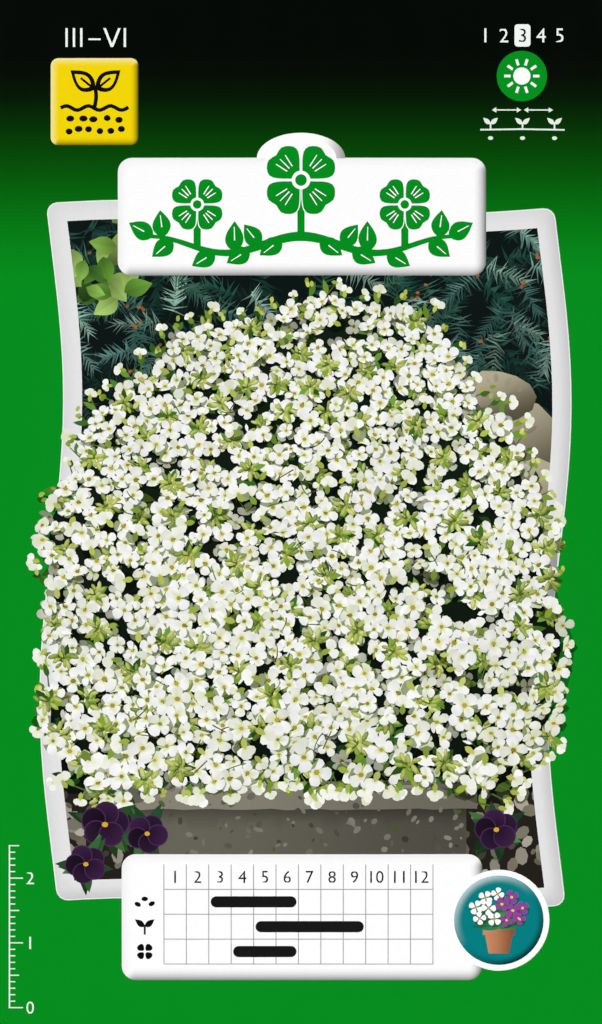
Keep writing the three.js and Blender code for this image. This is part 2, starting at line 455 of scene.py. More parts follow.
# Foliage behind the flowers: bristly conifer twigs, and broad bright leaves at the upper left
foliage = {
    "area": (-37, 2, 40, 50),
    "dimTwigs": 84,
    "dimPairs": 10,
    "dimTones": ["#15332d", "#1b3f36", "#112823", "#204a3e"],
    "twigs": 62,
    "pairs": 14,
    "twigLength": (4.5, 7.5),
    "needle": (2.5, 0.29),
    "tones": ["#557f76", "#416a63", "#6f998d", "#37604f", "#86a999"],
    "bud": "#a05e2c",
    "brightLeaves": 30,
    "brightTones": ["#5f9134", "#82ad4a", "#3f6f28", "#a3c468"],
    "brightCentre": (-31, 38),
    "deep": "#040b0a",
    "dim": "#081412",
}


def isHidden(x, y):  # behind the flowers or the top plate
    left, bottom, right, _ = plates["top"]
    return inCushion(x, y, 3.5) or (left + 2 < x < right - 2 and y > bottom + 2)


def drawTwig(x, y, turn, length, pairs, size, tone, window, rng):
    c, s = cos(turn), sin(turn)
    long, wide = foliage["needle"]
    for number in range(pairs):
        t = (number + 0.5) / pairs
        for side in (-1, 1):
            way = turn + side * rng.uniform(0.5, 1.2) * (1.9 - 1.4 * t)
            reach = long * rng.uniform(0.75, 1.1) * (1.05 - 0.25 * t)
            px, py = x + length * t * c, y + length * t * s
            dx, dy = cos(way), sin(way)
            lit = rng.uniform(0.55, 1.05) * (1.3 if dy > 0 else 0.85)
            draw([(px - dy * wide * size / 2, py + dx * wide * size / 2),
                  (px + dy * wide * size / 2, py - dx * wide * size / 2),
                  (px + reach * dx, py + reach * dy)], times(tone, lit), window)


def drawFoliage(window, rng):
    left, bottom, right, top = foliage["area"]
    draw(block(-44, -68, 44, top),
         lambda u, v: mix(linear(foliage["deep"]), linear(foliage["dim"]), ease(v, -30, 45)), window)
    layers = ((foliage["dimTwigs"], foliage["dimPairs"], 1.7, foliage["dimTones"]),
              (foliage["twigs"], foliage["pairs"], 1.0, foliage["tones"]))
    for count, pairs, size, tones in layers:
        made = 0
        while made < count:
            x, y = rng.uniform(left, right), rng.uniform(bottom, top)
            if isHidden(x, y):
                continue
            made += 1
            turn = -0.35 * pi + rng.gauss(0, 1.1) - (0.3 * pi if x < 0 else 0)
            length = rng.uniform(*foliage["twigLength"])
            tone = times(pick(rng, tones), 0.5 + 0.6 * made / count)
            drawTwig(x, y, turn, length, pairs, size, tone, window, rng)
            if size == 1.0 and made > count * 0.3:
                for _ in range(rng.randint(0, 3)):
                    bx, by = x + rng.gauss(0, 0.35), y + rng.gauss(0, 0.35)
                    draw(ellipse(bx, by, 0.34, 0.25, 6, rng.uniform(0, 3)),
                         times(linear(foliage["bud"]), rng.uniform(0.5, 1.1)), window)
    centreX, centreY = foliage["brightCentre"]
    for number in range(foliage["brightLeaves"]):
        x, y = centreX + rng.gauss(0, 4.0), centreY + rng.gauss(0, 3.6)
        turn, length = anyTurn(rng), rng.uniform(3.0, 4.8)
        tone = times(pick(rng, foliage["brightTones"]), 0.35 + 0.7 * number / foliage["brightLeaves"])
        bend, breadth = rng.uniform(-0.15, 0.15), length * 0.64
        for side, lit in ((1, 1.05), (-1, 0.9)):
            draw(halfLeaf(x, y, turn, length, breadth, side, bend),
                 lambda u, v, x=x, y=y, tone=tone, lit=lit, length=length:
                 times(tone, lit * (0.6 + 0.6 * ease(hypot(u - x, v - y) / length, 0.05, 0.9))), window)


# Stones: rounded, lit from the upper left
stone = {
    "places": [(31.5, 10, 9.5, 8.0), (36, 0, 9, 8.5), (-35, 4, 8.5, 7.5), (30.5, 18, 6.0, 4.2)],
    "light": "#b3aa90",
    "dark": "#544e3d",
    "fleck": ["#8f8876", "#6d675a", "#c9c2b0"],
    "soil": "#211d18",
    "soilTop": -44,
    "pebbles": 110,
}


def drawStone(x, y, wide, high, window, rng):
    light, dark = linear(stone["light"]), linear(stone["dark"])
    outline = []
    for number in range(13):
        turn = 2 * pi * number / 13
        reach = rng.uniform(0.9, 1.06)
        outline.append((x + wide * reach * cos(turn), y + high * reach * sin(turn)))

    def ink(u, v):
        return mix(dark, light, ease((v - y) / high * 0.75 - (u - x) / wide * 0.45, -0.8, 0.75))

    draw(outline, ink, window)
    for _ in range(14 if wide > 3 else 2):
        turn, reach = anyTurn(rng), sqrt(rng.random()) * 0.8
        size = rng.uniform(0.05, 0.16) * wide
        draw(ellipse(x + wide * reach * cos(turn), y + high * reach * sin(turn), size,
                     size * rng.uniform(0.3, 0.7), 7, turn),
             lambda u, v, f=rng.uniform(0.75, 1.18): times(ink(u, v), f), window)


def drawSoil(window, rng):
    reach, top = 44, stone["soilTop"]
    draw(block(-reach, -70, reach, top), linear(stone["soil"]), window)
    for _ in range(stone["pebbles"]):
        x, y = rng.choice((-1, 1)) * rng.uniform(23, 39), rng.uniform(-61, top)
        size = rng.uniform(0.5, 1.5)
        tone = times(pick(rng, stone["fleck"]), rng.uniform(0.3, 0.8))
        draw(ellipse(x, y, size, size * 0.7, 8, rng.uniform(0, 3)), tone, window)


# The stone trough under the flowers
trough = {
    "rimTop": -42.0,
    "rimHeight": 4.4,
    "rimHalf": 27.5,
    "bodyHalf": 25.8,
    "bottom": -58,
    "light": "#a9a596",
    "middle": "#868273",
    "dark": "#3c3a33",
    "moss": "#66743f",
    "flecks": 150,
}


def drawTrough(rng):
    light, middle, dark = (linear(trough[key]) for key in ("light", "middle", "dark"))
    top, rimBottom = trough["rimTop"], trough["rimTop"] - trough["rimHeight"]

    def rough(half, high, low):  # an upright slab with worn edges
        found = [(-half + 2 * half * i / 24, low + rng.uniform(-0.15, 0.15)) for i in range(25)]
        return found + [(half - 2 * half * i / 24, high + rng.uniform(-0.2, 0.2)) for i in range(25)]

    def bodyInk(u, v):  # darker to the right, and in the shade of the rim
        tone = mix(middle, dark, 0.55 + 0.3 * ease(u, -20, 26))
        return times(tone, 1 - 0.5 * ease(v, rimBottom - 2.5, rimBottom))

    draw(rough(trough["bodyHalf"], rimBottom + 0.5, trough["bottom"]), bodyInk)
    draw(rough(trough["rimHalf"], top, rimBottom), lambda u, v: mix(middle, dark, 0.5 * ease(u, -22, 28)))
    draw(rough(trough["rimHalf"], top, top - 1.1), lambda u, v: mix(light, middle, ease(u, -20, 28)))
    for number in range(trough["flecks"]):
        x, y = rng.uniform(-25, 25), rng.uniform(trough["bottom"], top - 0.5)
        size = rng.uniform(0.2, 0.75)
        if rng.random() < 0.5:
            tone = mix(middle, light, rng.random())
        else:
            tone = mix(middle, dark, rng.uniform(0.3, 0.9))
        if number % 6 == 0:
            tone = times(linear(trough["moss"]), rng.uniform(0.5, 1))
        draw(ellipse(x, y, size, size * rng.uniform(0.4, 0.9), 7, rng.uniform(0, 3)),
             times(tone, 1 if y > rimBottom else 0.62))


# The flowering cushion: blossoms and buds over a dome, the far ones first
cushion = {
    "halfWidth": 41.5,
    "waist": -22,
    "rise": 55,
    "drop": 26,
    "middleDrop": 0.78,
    "waves": [(0.022, 5, 1.0), (0.018, 9, 2.2), (0.014, 17, 0.4)],
    "backGap": 2.6,
    "frontGap": 2.12,
    "budGap": 4.9,
    "tries": (9000, 4000, 26000),  # at places for back blossoms, buds and front blossoms
    "shootReach": 41,
    "openLevel": 0.36,  # noise above this leaves a gap with leaves in it
    "openSize": 4.2,
    "blossomRadius": (1.42, 2.05),
    "sizeSpan": (0.84, 1.12),  # blossoms look smaller at the far top than at the near foot
    "blossomCup": 0.22,
    "petalLean": 0.2,  # how much darker one half of a petal is
    "petalMottle": 0.13,  # soft dull places on the petals
    "sideShare": 0.17,  # of the blossoms are seen from beside
    "tilt": 0.6,  # how far blossoms turn away from their place on the dome
    "patchSize": 13,
    "patchDepth": 0.07,
    "stalkCount": 240,
    "budsInCluster": (10, 15),
    "budSize": (0.8, 0.35),
    "leafCount": 1080,
    "light": (-0.33, 0.72, 0.61),
    "shadow": (0.33, 0.39, 0.24),
    "backTint": (0.98, 1.0, 0.84),
    "backLight": (0.27, 0.95),
    "gap": "#0b170c",
    "leafTones": ["#3f7426", "#5a8d34", "#2a5420", "#74a63c", "#86aa34"],
    "petal": "#fffffe",
    "petalShade": "#d1d6b6",
    "petalHeart": "#d6db92",
    "eyeTones": ["#a8952a", "#b9a636", "#8f8224"],
    "eyeDot": "#5a4812",
    "budTones": ["#bcc957", "#a5b944", "#d7de80", "#87a23a", "#c9d265"],
    "stalk": "#4c6a26",
    "oldStalk": "#4a3f1c",
}
petalOutline = [(0.0, 0.0), (0.34, -0.36), (0.72, -0.55), (0.99, -0.36), (1.06, 0.0),
                (0.99, 0.36), (0.72, 0.55), (0.34, 0.36)]
sepalOutline = [(0.1, 0), (0.5, -0.17), (0.85, 0), (0.5, 0.17)]
petalTones = [linear(cushion[key]) for key in ("petal", "petalShade", "petalHeart")]
cushionLight = Vector(cushion["light"]).normalized()
cushionFoot = cushion["waist"] - cushion["drop"]
cushionTop = cushion["waist"] + cushion["rise"]


def inCushion(x, y, inset=0.0):
    turn = atan2(y - cushion["waist"], x)
    wave = 1 + sum(size * sin(count * turn + shift) for size, count, shift in cushion["waves"])
    x, y = x / wave, cushion["waist"] + (y - cushion["waist"]) / wave
    side = abs(x) / (cushion["halfWidth"] - inset)
    if side >= 1:
        return False
    if y > cushion["waist"]:
        rise = (y - cushion["waist"]) / (cushion["rise"] - inset)
        return side ** 2.3 + rise ** 2.3 < 1
    drop = (cushion["waist"] - y) / (cushion["drop"] - inset)
    reach = cushion["middleDrop"] + (1 - cushion["middleDrop"]) * ease(side, 0.5, 0.8)
    return drop < reach and side ** 4 + drop ** 4 < 1


def cushionNormal(x, y):
    nx = x / cushion["halfWidth"]
    ny = (y - cushion["waist"]) / (cushion["rise"] if y > cushion["waist"] else cushion["drop"] * 1.6)
    return Vector((nx, ny, sqrt(max(0.2, 1 - nx * nx - ny * ny)))).normalized()


def nearness(y):  # how large things look at this level of the cushion
    far, near = cushion["sizeSpan"]
    return near + (far - near) * (y - cushionFoot) / (cushionTop - cushionFoot)


def isOpen(x, y):  # whether the cushion has a gap between its blossoms here
    size = cushion["openSize"]
    return noise.noise(Vector((x / size, y / size * 1.3, 4.2))) > cushion["openLevel"]


def drawBlossom(x, y, normal, radius, rng, bright, hasSepals):  # bright is the light on it, as a colour
    across = normal.cross(Vector((0.31, 0.95, 0.05))).normalized()
    along = normal.cross(across)
    start = rng.uniform(0, pi / 2)
    white, shadow, heart = petalTones
    for number in range(4 if hasSepals else 0):
        turn = start + (number + 0.5) * pi / 2 + rng.gauss(0, 0.12)
        way = (across * cos(turn) + along * sin(turn)) * radius
        beside = normal.cross(way)
        spots = [way * reach + beside * wide for reach, wide in sepalOutline]
        draw([(x + spot.x, y + spot.y) for spot in spots],
             tinted(pick(rng, cushion["budTones"]), times(bright, rng.uniform(0.5, 0.9))))
    for number in range(4):
        turn = start + number * pi / 2 + rng.gauss(0, 0.1)
        length, cup = radius * rng.uniform(0.88, 1.08), cushion["blossomCup"] + rng.gauss(0, 0.2)
        way = across * cos(turn) + along * sin(turn)
        beside = normal.cross(way)
        facing = (normal - way * cup * 1.4).normalized()
        if facing.z < 0:
            facing = -facing
        lit = ease(facing.dot(cushionLight), -0.1, 0.58) * rng.uniform(0.78, 1)
        tone = tinted(mix(shadow, white, 0.45 + 0.55 * lit), bright)
        outline = []
        breadth = rng.uniform(0.82, 1.08)
        for reach, wide in petalOutline:
            wide *= breadth * rng.uniform(0.88, 1.06)
            place = (way * reach + beside * wide + normal * cup * reach * reach) * length
            outline.append((x + place.x, y + place.y))
        lean = beside * rng.choice((-1, 1)) * cushion["petalLean"] / length

        def ink(u, v, tone=tone, length=length, lean=lean):
            share = hypot(u - x, v - y) / length
            dull = max(0.0, (u - x) * lean.x + (v - y) * lean.y) + 0.1 * ease(share, 0.7, 1.1)
            dull += cushion["petalMottle"] * max(0.0, noise.noise(Vector((u * 0.9, v * 0.9, 9.0))))
            return mix(tinted(heart, bright), times(tone, 1 - dull), ease(share, 0.12, 0.42))

        draw(outline, ink)
    eye = radius * rng.uniform(0.16, 0.23)
    eyeTone = tinted(pick(rng, cushion["eyeTones"]), bright)
    draw(ellipse(x, y, eye, eye * max(0.55, abs(normal.z)), 6), eyeTone)
    if rng.random() < 0.6:
        angle = anyTurn(rng)
        draw(ellipse(x + eye * cos(angle), y + eye * sin(angle), eye * 0.5, eye * 0.35, 4, angle),
             linear(cushion["eyeDot"]))


def drawSideBlossom(x, y, turn, size, rng, bright):  # a green calyx with the petals ahead of it
    white, shadow, heart = petalTones
    c, s = cos(turn), sin(turn)
    for spread in (-0.8, 0.8, rng.uniform(-0.25, 0.25)):
        way, length = turn + spread + rng.gauss(0, 0.12), size * rng.uniform(0.85, 1.15)
        tone = tinted(mix(shadow, white, rng.uniform(0.3, 1.0)), bright)
        wc, ws = cos(way) * length, sin(way) * length
        outline = [(x + reach * wc - wide * 0.85 * ws, y + reach * ws + wide * 0.85 * wc)
                   for reach, wide in petalOutline]

        def ink(u, v, tone=tone, length=length):
            share = hypot(u - x, v - y) / length
            return mix(tinted(heart, bright), tone, ease(share, 0.1, 0.42))

        draw(outline, ink)
    draw(leafOutline(x - 0.75 * size * c, y - 0.75 * size * s, turn, size * 1.05, size * 0.55, 0, 5),
         tinted(pick(rng, cushion["budTones"]), times(bright, rng.uniform(0.65, 0.95))))


def patchLight(x, y):  # broad soft changes of light over the cushion
    size = cushion["patchSize"]
    return 1 - cushion["patchDepth"] * ease(noise.noise(Vector((x / size, y / size, 1.7))), -0.1, 0.55)


def drawBuds(x, y, rng, bright):
    count, near = rng.randint(*cushion["budsInCluster"]), nearness(y)
    long, wide = times(cushion["budSize"], near)
    for _ in range(3):
        turn = anyTurn(rng)
        draw(leafOutline(x, y, turn, near * rng.uniform(1.8, 2.8), near * 1.1, rng.uniform(-0.2, 0.2), 4),
             times(pick(rng, cushion["leafTones"]), bright))
    for number in range(count):
        angle = number * 2.4 + rng.uniform(-0.5, 0.5)
        reach = near * 1.75 * sqrt((number + 0.3) / count)
        bx, by = x + reach * cos(angle), y + reach * sin(angle) * 0.9
        turn = angle + rng.uniform(-0.5, 0.5)
        if number % 3 == 0:
            draw(thickLine([(x, y), (bx, by)], 0.22), times(linear(cushion["stalk"]), bright))
        tone = times(pick(rng, cushion["budTones"]), bright * rng.uniform(0.75, 1.05))
        size = rng.uniform(0.75, 1.2)
        draw(ellipse(bx, by, long * size, wide * size, 7, turn), times(tone, 0.72))
        lit = ellipse(bx - 0.05, by + 0.1, long * size * 0.77, wide * size * 0.64, 5, turn)
        draw(lit, mix(tone, (1, 1, 0.8), 0.07))


def anywhere(rng):
    wide = cushion["halfWidth"]
    return rng.uniform(-wide, wide), rng.uniform(cushionFoot, cushionTop)


def scatter(rng, gap, tries, inset):  # points over the cushion, no closer than gap looks there
    found, cells = [], {}
    cell = gap * max(cushion["sizeSpan"])
    for _ in range(tries):
        x, y = anywhere(rng)
        i, j, apart = int(x // cell), int(y // cell), gap * nearness(y)
        near = [p for a in (-1, 0, 1) for b in (-1, 0, 1) for p in cells.get((i + a, j + b), ())]
        if inCushion(x, y, inset) and all(hypot(x - a, y - b) > apart for a, b in near):
            found.append((x, y))
            cells.setdefault((i, j), []).append((x, y))
    return found


def cushionOutline(inset, count=90):
    found = []
    for i in range(count):
        a = 2 * pi * i / count
        low, high = 0.0, 90.0
        for _ in range(18):
            reach = (low + high) / 2
            if inCushion(reach * cos(a), cushion["waist"] + reach * sin(a), inset):
                low = reach
            else:
                high = reach
        found.append((low * cos(a), cushion["waist"] + low * sin(a)))
    return found


def drawDepth(rng):  # the dark inside of the cushion, with the leaves that its gaps show
    gap = linear(cushion["gap"])
    shade([(x + 1.0, y - 1.4) for x, y in cushionOutline(1.5)], (0.5, 0.5, 0.5))
    draw(cushionOutline(2.5), lambda u, v: times(gap, 0.7 + 0.6 * ease(v, -50, 30)))
    for _ in range(cushion["leafCount"]):
        x, y = anywhere(rng)
        if inCushion(x, y, 1.5) and (isOpen(x, y) or rng.random() < 0.4):
            turn, length = anyTurn(rng), rng.uniform(1.8, 3.4)
            tone = pick(rng, cushion["leafTones"])
            draw(leafOutline(x, y, turn, length, length * 0.42, rng.uniform(-0.2, 0.2), 4),
                 times(tone, rng.uniform(0.17, 0.95)))


def drawShoots(rng):  # loose shoots that stand out from the edge
    for x, y in cushionOutline(0.5, 130):
        turn = atan2(y - cushion["waist"], x) + rng.gauss(0, 0.5)
        length = rng.uniform(0.6, 2.4)
        root, tip = spoke(x, y, turn, -2, length)
        if abs(tip[0]) > cushion["shootReach"] + rng.uniform(-2, 1.5):
            continue
        draw(thickLine([root, tip], 0.28, 0.5), linear(cushion["stalk"]))
        draw(leafOutline(x, y, turn + rng.uniform(-1, 1), length * 0.8 + 0.6, 0.9, 0.1, 4),
             times(pick(rng, cushion["leafTones"]), rng.uniform(0.5, 0.9)))
        if rng.random() < 0.6:
            size = nearness(y) * rng.uniform(1.0, 1.5)
            drawSideBlossom(*tip, turn + rng.gauss(0, 0.4), size, rng, (0.96, 0.97, 0.92))
        else:
            for _ in range(3):
                bx, by = tip[0] + rng.gauss(0, 0.4), tip[1] + rng.gauss(0, 0.4)
                draw(ellipse(bx, by, 0.5, 0.32, 7, rng.uniform(0, 3)),
                     times(pick(rng, cushion["budTones"]), rng.uniform(0.7, 1.0)))


def drawStalk(x, y, rng):  # a petal seen edge on, or a bare stalk
    turn, bend = anyTurn(rng), rng.uniform(-0.6, 0.6)
    if rng.random() < 0.55:
        draw(leafOutline(x, y, turn, rng.uniform(1.2, 2.2), rng.uniform(0.4, 0.75), bend * 0.4, 4),
             times(linear(cushion["petal"]), rng.uniform(0.8, 1.0)))
        return
    length = rng.uniform(1.8, 3.4)
    line = []
    for t in (0, 0.35, 0.7, 1):
        way = turn + bend * t
        line.append((x + length * t * cos(way), y + length * t * sin(way)))
    draw(thickLine(line, 0.2, 0.7), pick(rng, (cushion["stalk"], cushion["oldStalk"])))


def drawFrontBlossom(x, y, normal, lit, rng):
    radius = nearness(y) * rng.uniform(*cushion["blossomRadius"])
    bright = times((1, 1, 1), rng.uniform(0.97, 1.0) * lit)
    shade(ellipse(x + 0.12, y - 0.3, radius, radius * max(0.5, abs(normal.z)), 8), cushion["shadow"])
    if rng.random() < cushion["sideShare"]:
        turn = atan2(y - cushion["waist"], x) + rng.gauss(0, 1.0)
        drawSideBlossom(x, y, turn, radius * 0.95, rng, bright)
    else:
        drawBlossom(x, y, normal, radius, rng, bright, True)


def drawCushion(rng):
    drawDepth(rng)
    drawShoots(rng)
    things = []  # sorted by height, so that the near ones cover the far ones; the back ones come first
    backTries, budTries, frontTries = cushion["tries"]
    for x, y in scatter(rng, cushion["backGap"], backTries, 1.2):
        things.append((y + 200, "back", x, y))
    for x, y in scatter(rng, cushion["budGap"], budTries, 1.5):
        things.append((y + 100 + rng.uniform(-4, 4), "buds", x, y))
    for x, y in scatter(rng, cushion["frontGap"], frontTries, 1.2):
        if not isOpen(x, y):
            things.append((y + 100 + rng.uniform(-4, 4), "front", x, y))
    for _ in range(cushion["stalkCount"]):
        x, y = anywhere(rng)
        if inCushion(x, y, 3):
            things.append((y + 100 + rng.uniform(-4, 4), "stalk", x, y))
    print(f"cushion: {len(things)} blossoms and bud clusters")
    for _, kind, x, y in sorted(things, reverse=True):
        spread = Vector((rng.gauss(0, cushion["tilt"]), rng.gauss(0, cushion["tilt"]), 0.85))
        normal = (cushionNormal(x, y) * 0.8 + spread).normalized()
        lit = patchLight(x, y)
        if kind == "buds":
            drawBuds(x, y, rng, rng.uniform(0.85, 1.0) * lit)
        elif kind == "stalk":
            drawStalk(x, y, rng)
        elif kind == "front":
            drawFrontBlossom(x, y, normal, lit, rng)
        elif not isOpen(x, y) or rng.random() < 0.35:
            radius = nearness(y) * rng.uniform(1.3, 1.6)
            dimmed = times(cushion["backTint"], rng.uniform(*cushion["backLight"]))
            drawBlossom(x, y, normal, radius, rng, dimmed, False)


# White plates with a rounded printed edge
plates = {
    "top": (-28.6, 36.9, 28.9, 55.3),
    "name": (-28, -73.1, 28.3, -53.4),
    "radius": 2.2,
    "edge": 1.9,  # the printed edge shading's breadth
    "rightTone": "#6a6a6a",
    "bottomTone": "#8e8e8e",
    "lightTone": "#f2f2f2",
    "rings": 4,
    "crown": (0, 55.2, 6.9, 4.0),
    "crownShade": "#8a8a8a",
}


def boxInset(x, y, box, radius):  # distance in from the edge, and which way the edge faces
    left, bottom, right, top = box
    cx, cy = (left + right) / 2, (bottom + top) / 2
    dx = abs(x - cx) - ((right - left) / 2 - radius)
    dy = abs(y - cy) - ((top - bottom) / 2 - radius)
    if dx > 0 and dy > 0:
        length = hypot(dx, dy)
        return radius - length, copysign(dx / length, x - cx), copysign(dy / length, y - cy)
    if dx > dy:
        return radius - dx, copysign(1, x - cx), 0
    return radius - dy, 0, copysign(1, y - cy)


def drawRaisedBox(box, radius, edge, face, tones, rings):
    right, bottom, light = (linear(tone) for tone in tones)
    middle = linear(face)

    def ink(u, v):
        inset, nx, ny = boxInset(u, v, box, radius)
        share = (1 - min(1.0, max(0.0, inset / edge))) ** 1.6
        shaded = mix(bottom, right, max(0.0, nx) ** 2)
        return mix(middle, mix(light, shaded, ease(nx - ny, 0, 0.95)), share)

    for number in range(rings):
        inset = edge * number / rings
        corner = max(0.3, radius - inset)
        outline = roundedBox(box[0] + inset, box[1] + inset, box[2] - inset, box[3] - inset, corner)
        draw(outline, ink)
    corner = max(0.3, radius - edge)
    draw(roundedBox(box[0] + edge, box[1] + edge, box[2] - edge, box[3] - edge, corner), middle)


def drawPlates():
    tones = (plates["rightTone"], plates["bottomTone"], plates["lightTone"])
    x, y, wide, high = plates["crown"]
    crown = [(x + wide * cos(a), y + high * sin(a)) for a in (pi * i / 24 for i in range(25))]
    for box in ("top", "name"):
        drawRaisedBox(plates[box], plates["radius"], plates["edge"], "#ffffff", tones, plates["rings"])
    dim = linear(plates["crownShade"])
    draw(crown, lambda u, v: mix(pureWhite, dim, ease(u - x, wide * 0.45, wide * 1.1)))
    flat = [(px * 0.8, y + (py - y) * 0.8) for px, py in crown]
    draw(flat + [(-wide * 0.8, y - 1), (wide * 0.8, y - 1)], pureWhite)


# The garland on the top plate: a bold stem with leaves and three four-petalled flowers
garland = {
    "green": "#008d1c",
    "stemBreadth": 1.5,
    "reach": 23.4,
    "level": 41.7,
    "wave": 1.3,
    "leaves": [(23.0, 0.45, 4.4), (21.5, 1.4, 4.3), (20.0, -0.75, 4.2), (13.4, -0.6, 4.2), (10.3, 1.5, 4.9),
               (8.0, -0.6, 4.2), (6.3, 0.85, 4.2), (3.0, -0.7, 4.3)],
    "leafBreadth": 2.9,
    "vein": 0.2,
    "veinSpan": (0.38, 0.82),
    "flowers": [(-16.2, 48.0, 4.5), (0, 51.8, 6.1), (16.2, 48.0, 4.5)],
    "halo": 0.55,  # white round each flower
    "gap": 0.16,  # and between its petals
}
emblemPetal = [(0.14, 0), (0.34, -0.24), (0.6, -0.41), (0.83, -0.42), (0.98, -0.26), (1.03, 0),
               (0.98, 0.26), (0.83, 0.42), (0.6, 0.41), (0.34, 0.24)]


def flowerEmblem(x, y, radius, ink, eyeInk, start=pi / 4):
    for number in range(4):
        turn = start + number * pi / 2
        c, s = cos(turn), sin(turn)
        draw([(x + radius * (reach * c - wide * s), y + radius * (reach * s + wide * c))
              for reach, wide in emblemPetal], ink)
    draw(ellipse(x, y, radius * 0.21, radius * 0.21, 14), eyeInk)


def garlandLevel(x):
    return garland["level"] + garland["wave"] * cos(x / garland["reach"] * 2 * pi)


def heartPetal(x, y, turn, length, grow=0.0):  # grow widens it evenly
    found = []
    for i in range(28):
        a = 2 * pi * i / 28
        fromTip = a if a < pi else 2 * pi - a
        reach = 0.56 + 0.44 * cos(a) - 0.1 * exp(-fromTip ** 2 / 0.09)
        wide = 0.46 * sin(a) * (0.5 + 0.62 * ease(reach, 0.05, 0.75))
        found.append((length * reach + grow * cos(a), length * wide + grow * sin(a)))
    return placed(found, x, y, turn)


def drawVein(x, y, way, length):  # the pale midrib of a leaf
    c, s = cos(way) * length, sin(way) * length
    line = [(x + share * c, y + share * s) for share in garland["veinSpan"]]
    draw(thickLine(line, garland["vein"], 0.6), pureWhite)


def drawGarland():
    green, reach, upright = linear(garland["green"]), garland["reach"], garland["stemBreadth"] * 0.75
    for x, y, radius in garland["flowers"]:
        draw(thickLine([(x, garlandLevel(x)), (x, y)], upright), green)
    for side in (-1, 1):
        stem = [(side * x, garlandLevel(x)) for x in (reach * i / 30 for i in range(31))]
        draw(thickLine(stem, garland["stemBreadth"], 0.4), green)
        ways = [(side * x, garlandLevel(x), turn if side > 0 else pi - turn, length)
                for x, turn, length in garland["leaves"]]
        for x, y, way, length in ways:
            draw(leafOutline(x, y, way, length, garland["leafBreadth"], 0.06 * side, 9), green)
        for x, y, way, length in ways:
            drawVein(x, y, way + 0.04 * side, length)
    for x, y, radius in garland["flowers"]:
        turns = [pi / 4 + number * pi / 2 for number in range(4)]
        for turn in turns[2:] + turns[:2]:
            draw(heartPetal(x, y, turn, radius, garland["halo"]), pureWhite)
        draw(thickLine([(x, y - radius), (x, y)], upright), green)
        for turn in turns:
            draw(heartPetal(x, y, turn, radius, garland["gap"]), pureWhite)
            draw(heartPetal(x, y, turn, radius), green)
            for lean in (-0.22, 0, 0.22):
                line = spoke(x, y, turn + lean, 0.42 * radius, 0.76 * radius)
                draw(thickLine(line, garland["vein"], 0.7), pureWhite)
        draw(ellipse(x, y, radius * 0.24, radius * 0.24, 24), pureWhite)
        draw(ellipse(x, y, radius * 0.15, radius * 0.15, 16), green)


# A sowing calendar: plain numbers for the months, with bars for the seasons
calendar = {
    "columns": 12,
    "numberHeight": 1.9,
    "barHeight": 1.75,
    "barInset": 0.3,
    "rule": "#9a9a9a",
    "ruleBreadth": 0.14,
    "figures": "#111111",
    "bars": [(2, 6, "#141414"), (4, 9, "#141414"), (3, 6, "#141414")],
    "onPlate": (6.6, 1.6, 3.5, 3.9),  # in from the left and the top, a column and a row
    "signsOnPlate": 3.6,
    "seedPlaces": ((-1.1, -0.4), (0, 0.45), (1.1, -0.3)),
    "seedling": (0.55, 1.9, 0.95),  # turn, length and breadth of its leaves
    "flower": 1.35,
}


def drawCalendar(left, top, column, row):
    rule, figures, breadth = linear(calendar["rule"]), linear(calendar["figures"]), calendar["ruleBreadth"]
    count, rows, high = calendar["columns"], len(calendar["bars"]), calendar["numberHeight"]
    right, bottom = left + count * column, top - row * (rows + 1)
    for number in range(count + 1):
        x = left + number * column
        draw(thickLine([(x, bottom), (x, top)], breadth), rule)
    for number in range(1, rows + 2):
        level = top - number * row
        draw(thickLine([(left, level), (right, level)], breadth), rule)
    for number in range(count):
        drawNumber(str(number + 1), left + (number + 0.5) * column, top - row / 2 - high / 2, high, figures)
    inset, half = calendar["barInset"], calendar["barHeight"] / 2
    for number, (first, last, tone) in enumerate(calendar["bars"]):
        level = top - (number + 1.5) * row
        draw(roundedBox(left + first * column + inset, level - half, left + last * column - inset,
                        level + half, half - 0.01, 5), linear(tone))


def drawRowSigns(x, top, row, ink):  # seeds, a seedling and a flower, one for each bar
    for dx, dy in calendar["seedPlaces"]:
        draw(ellipse(x + dx, top - 1.5 * row + dy, 0.52, 0.36, 10, dx * 0.4), ink)
    level = top - 2.5 * row
    draw(thickLine([(x, level - 1.25), (x, level + 0.3)], 0.3), ink)
    leafPair(x, level, *calendar["seedling"], ink, 6)
    flowerEmblem(x, top - 3.5 * row, calendar["flower"], ink, pureWhite)


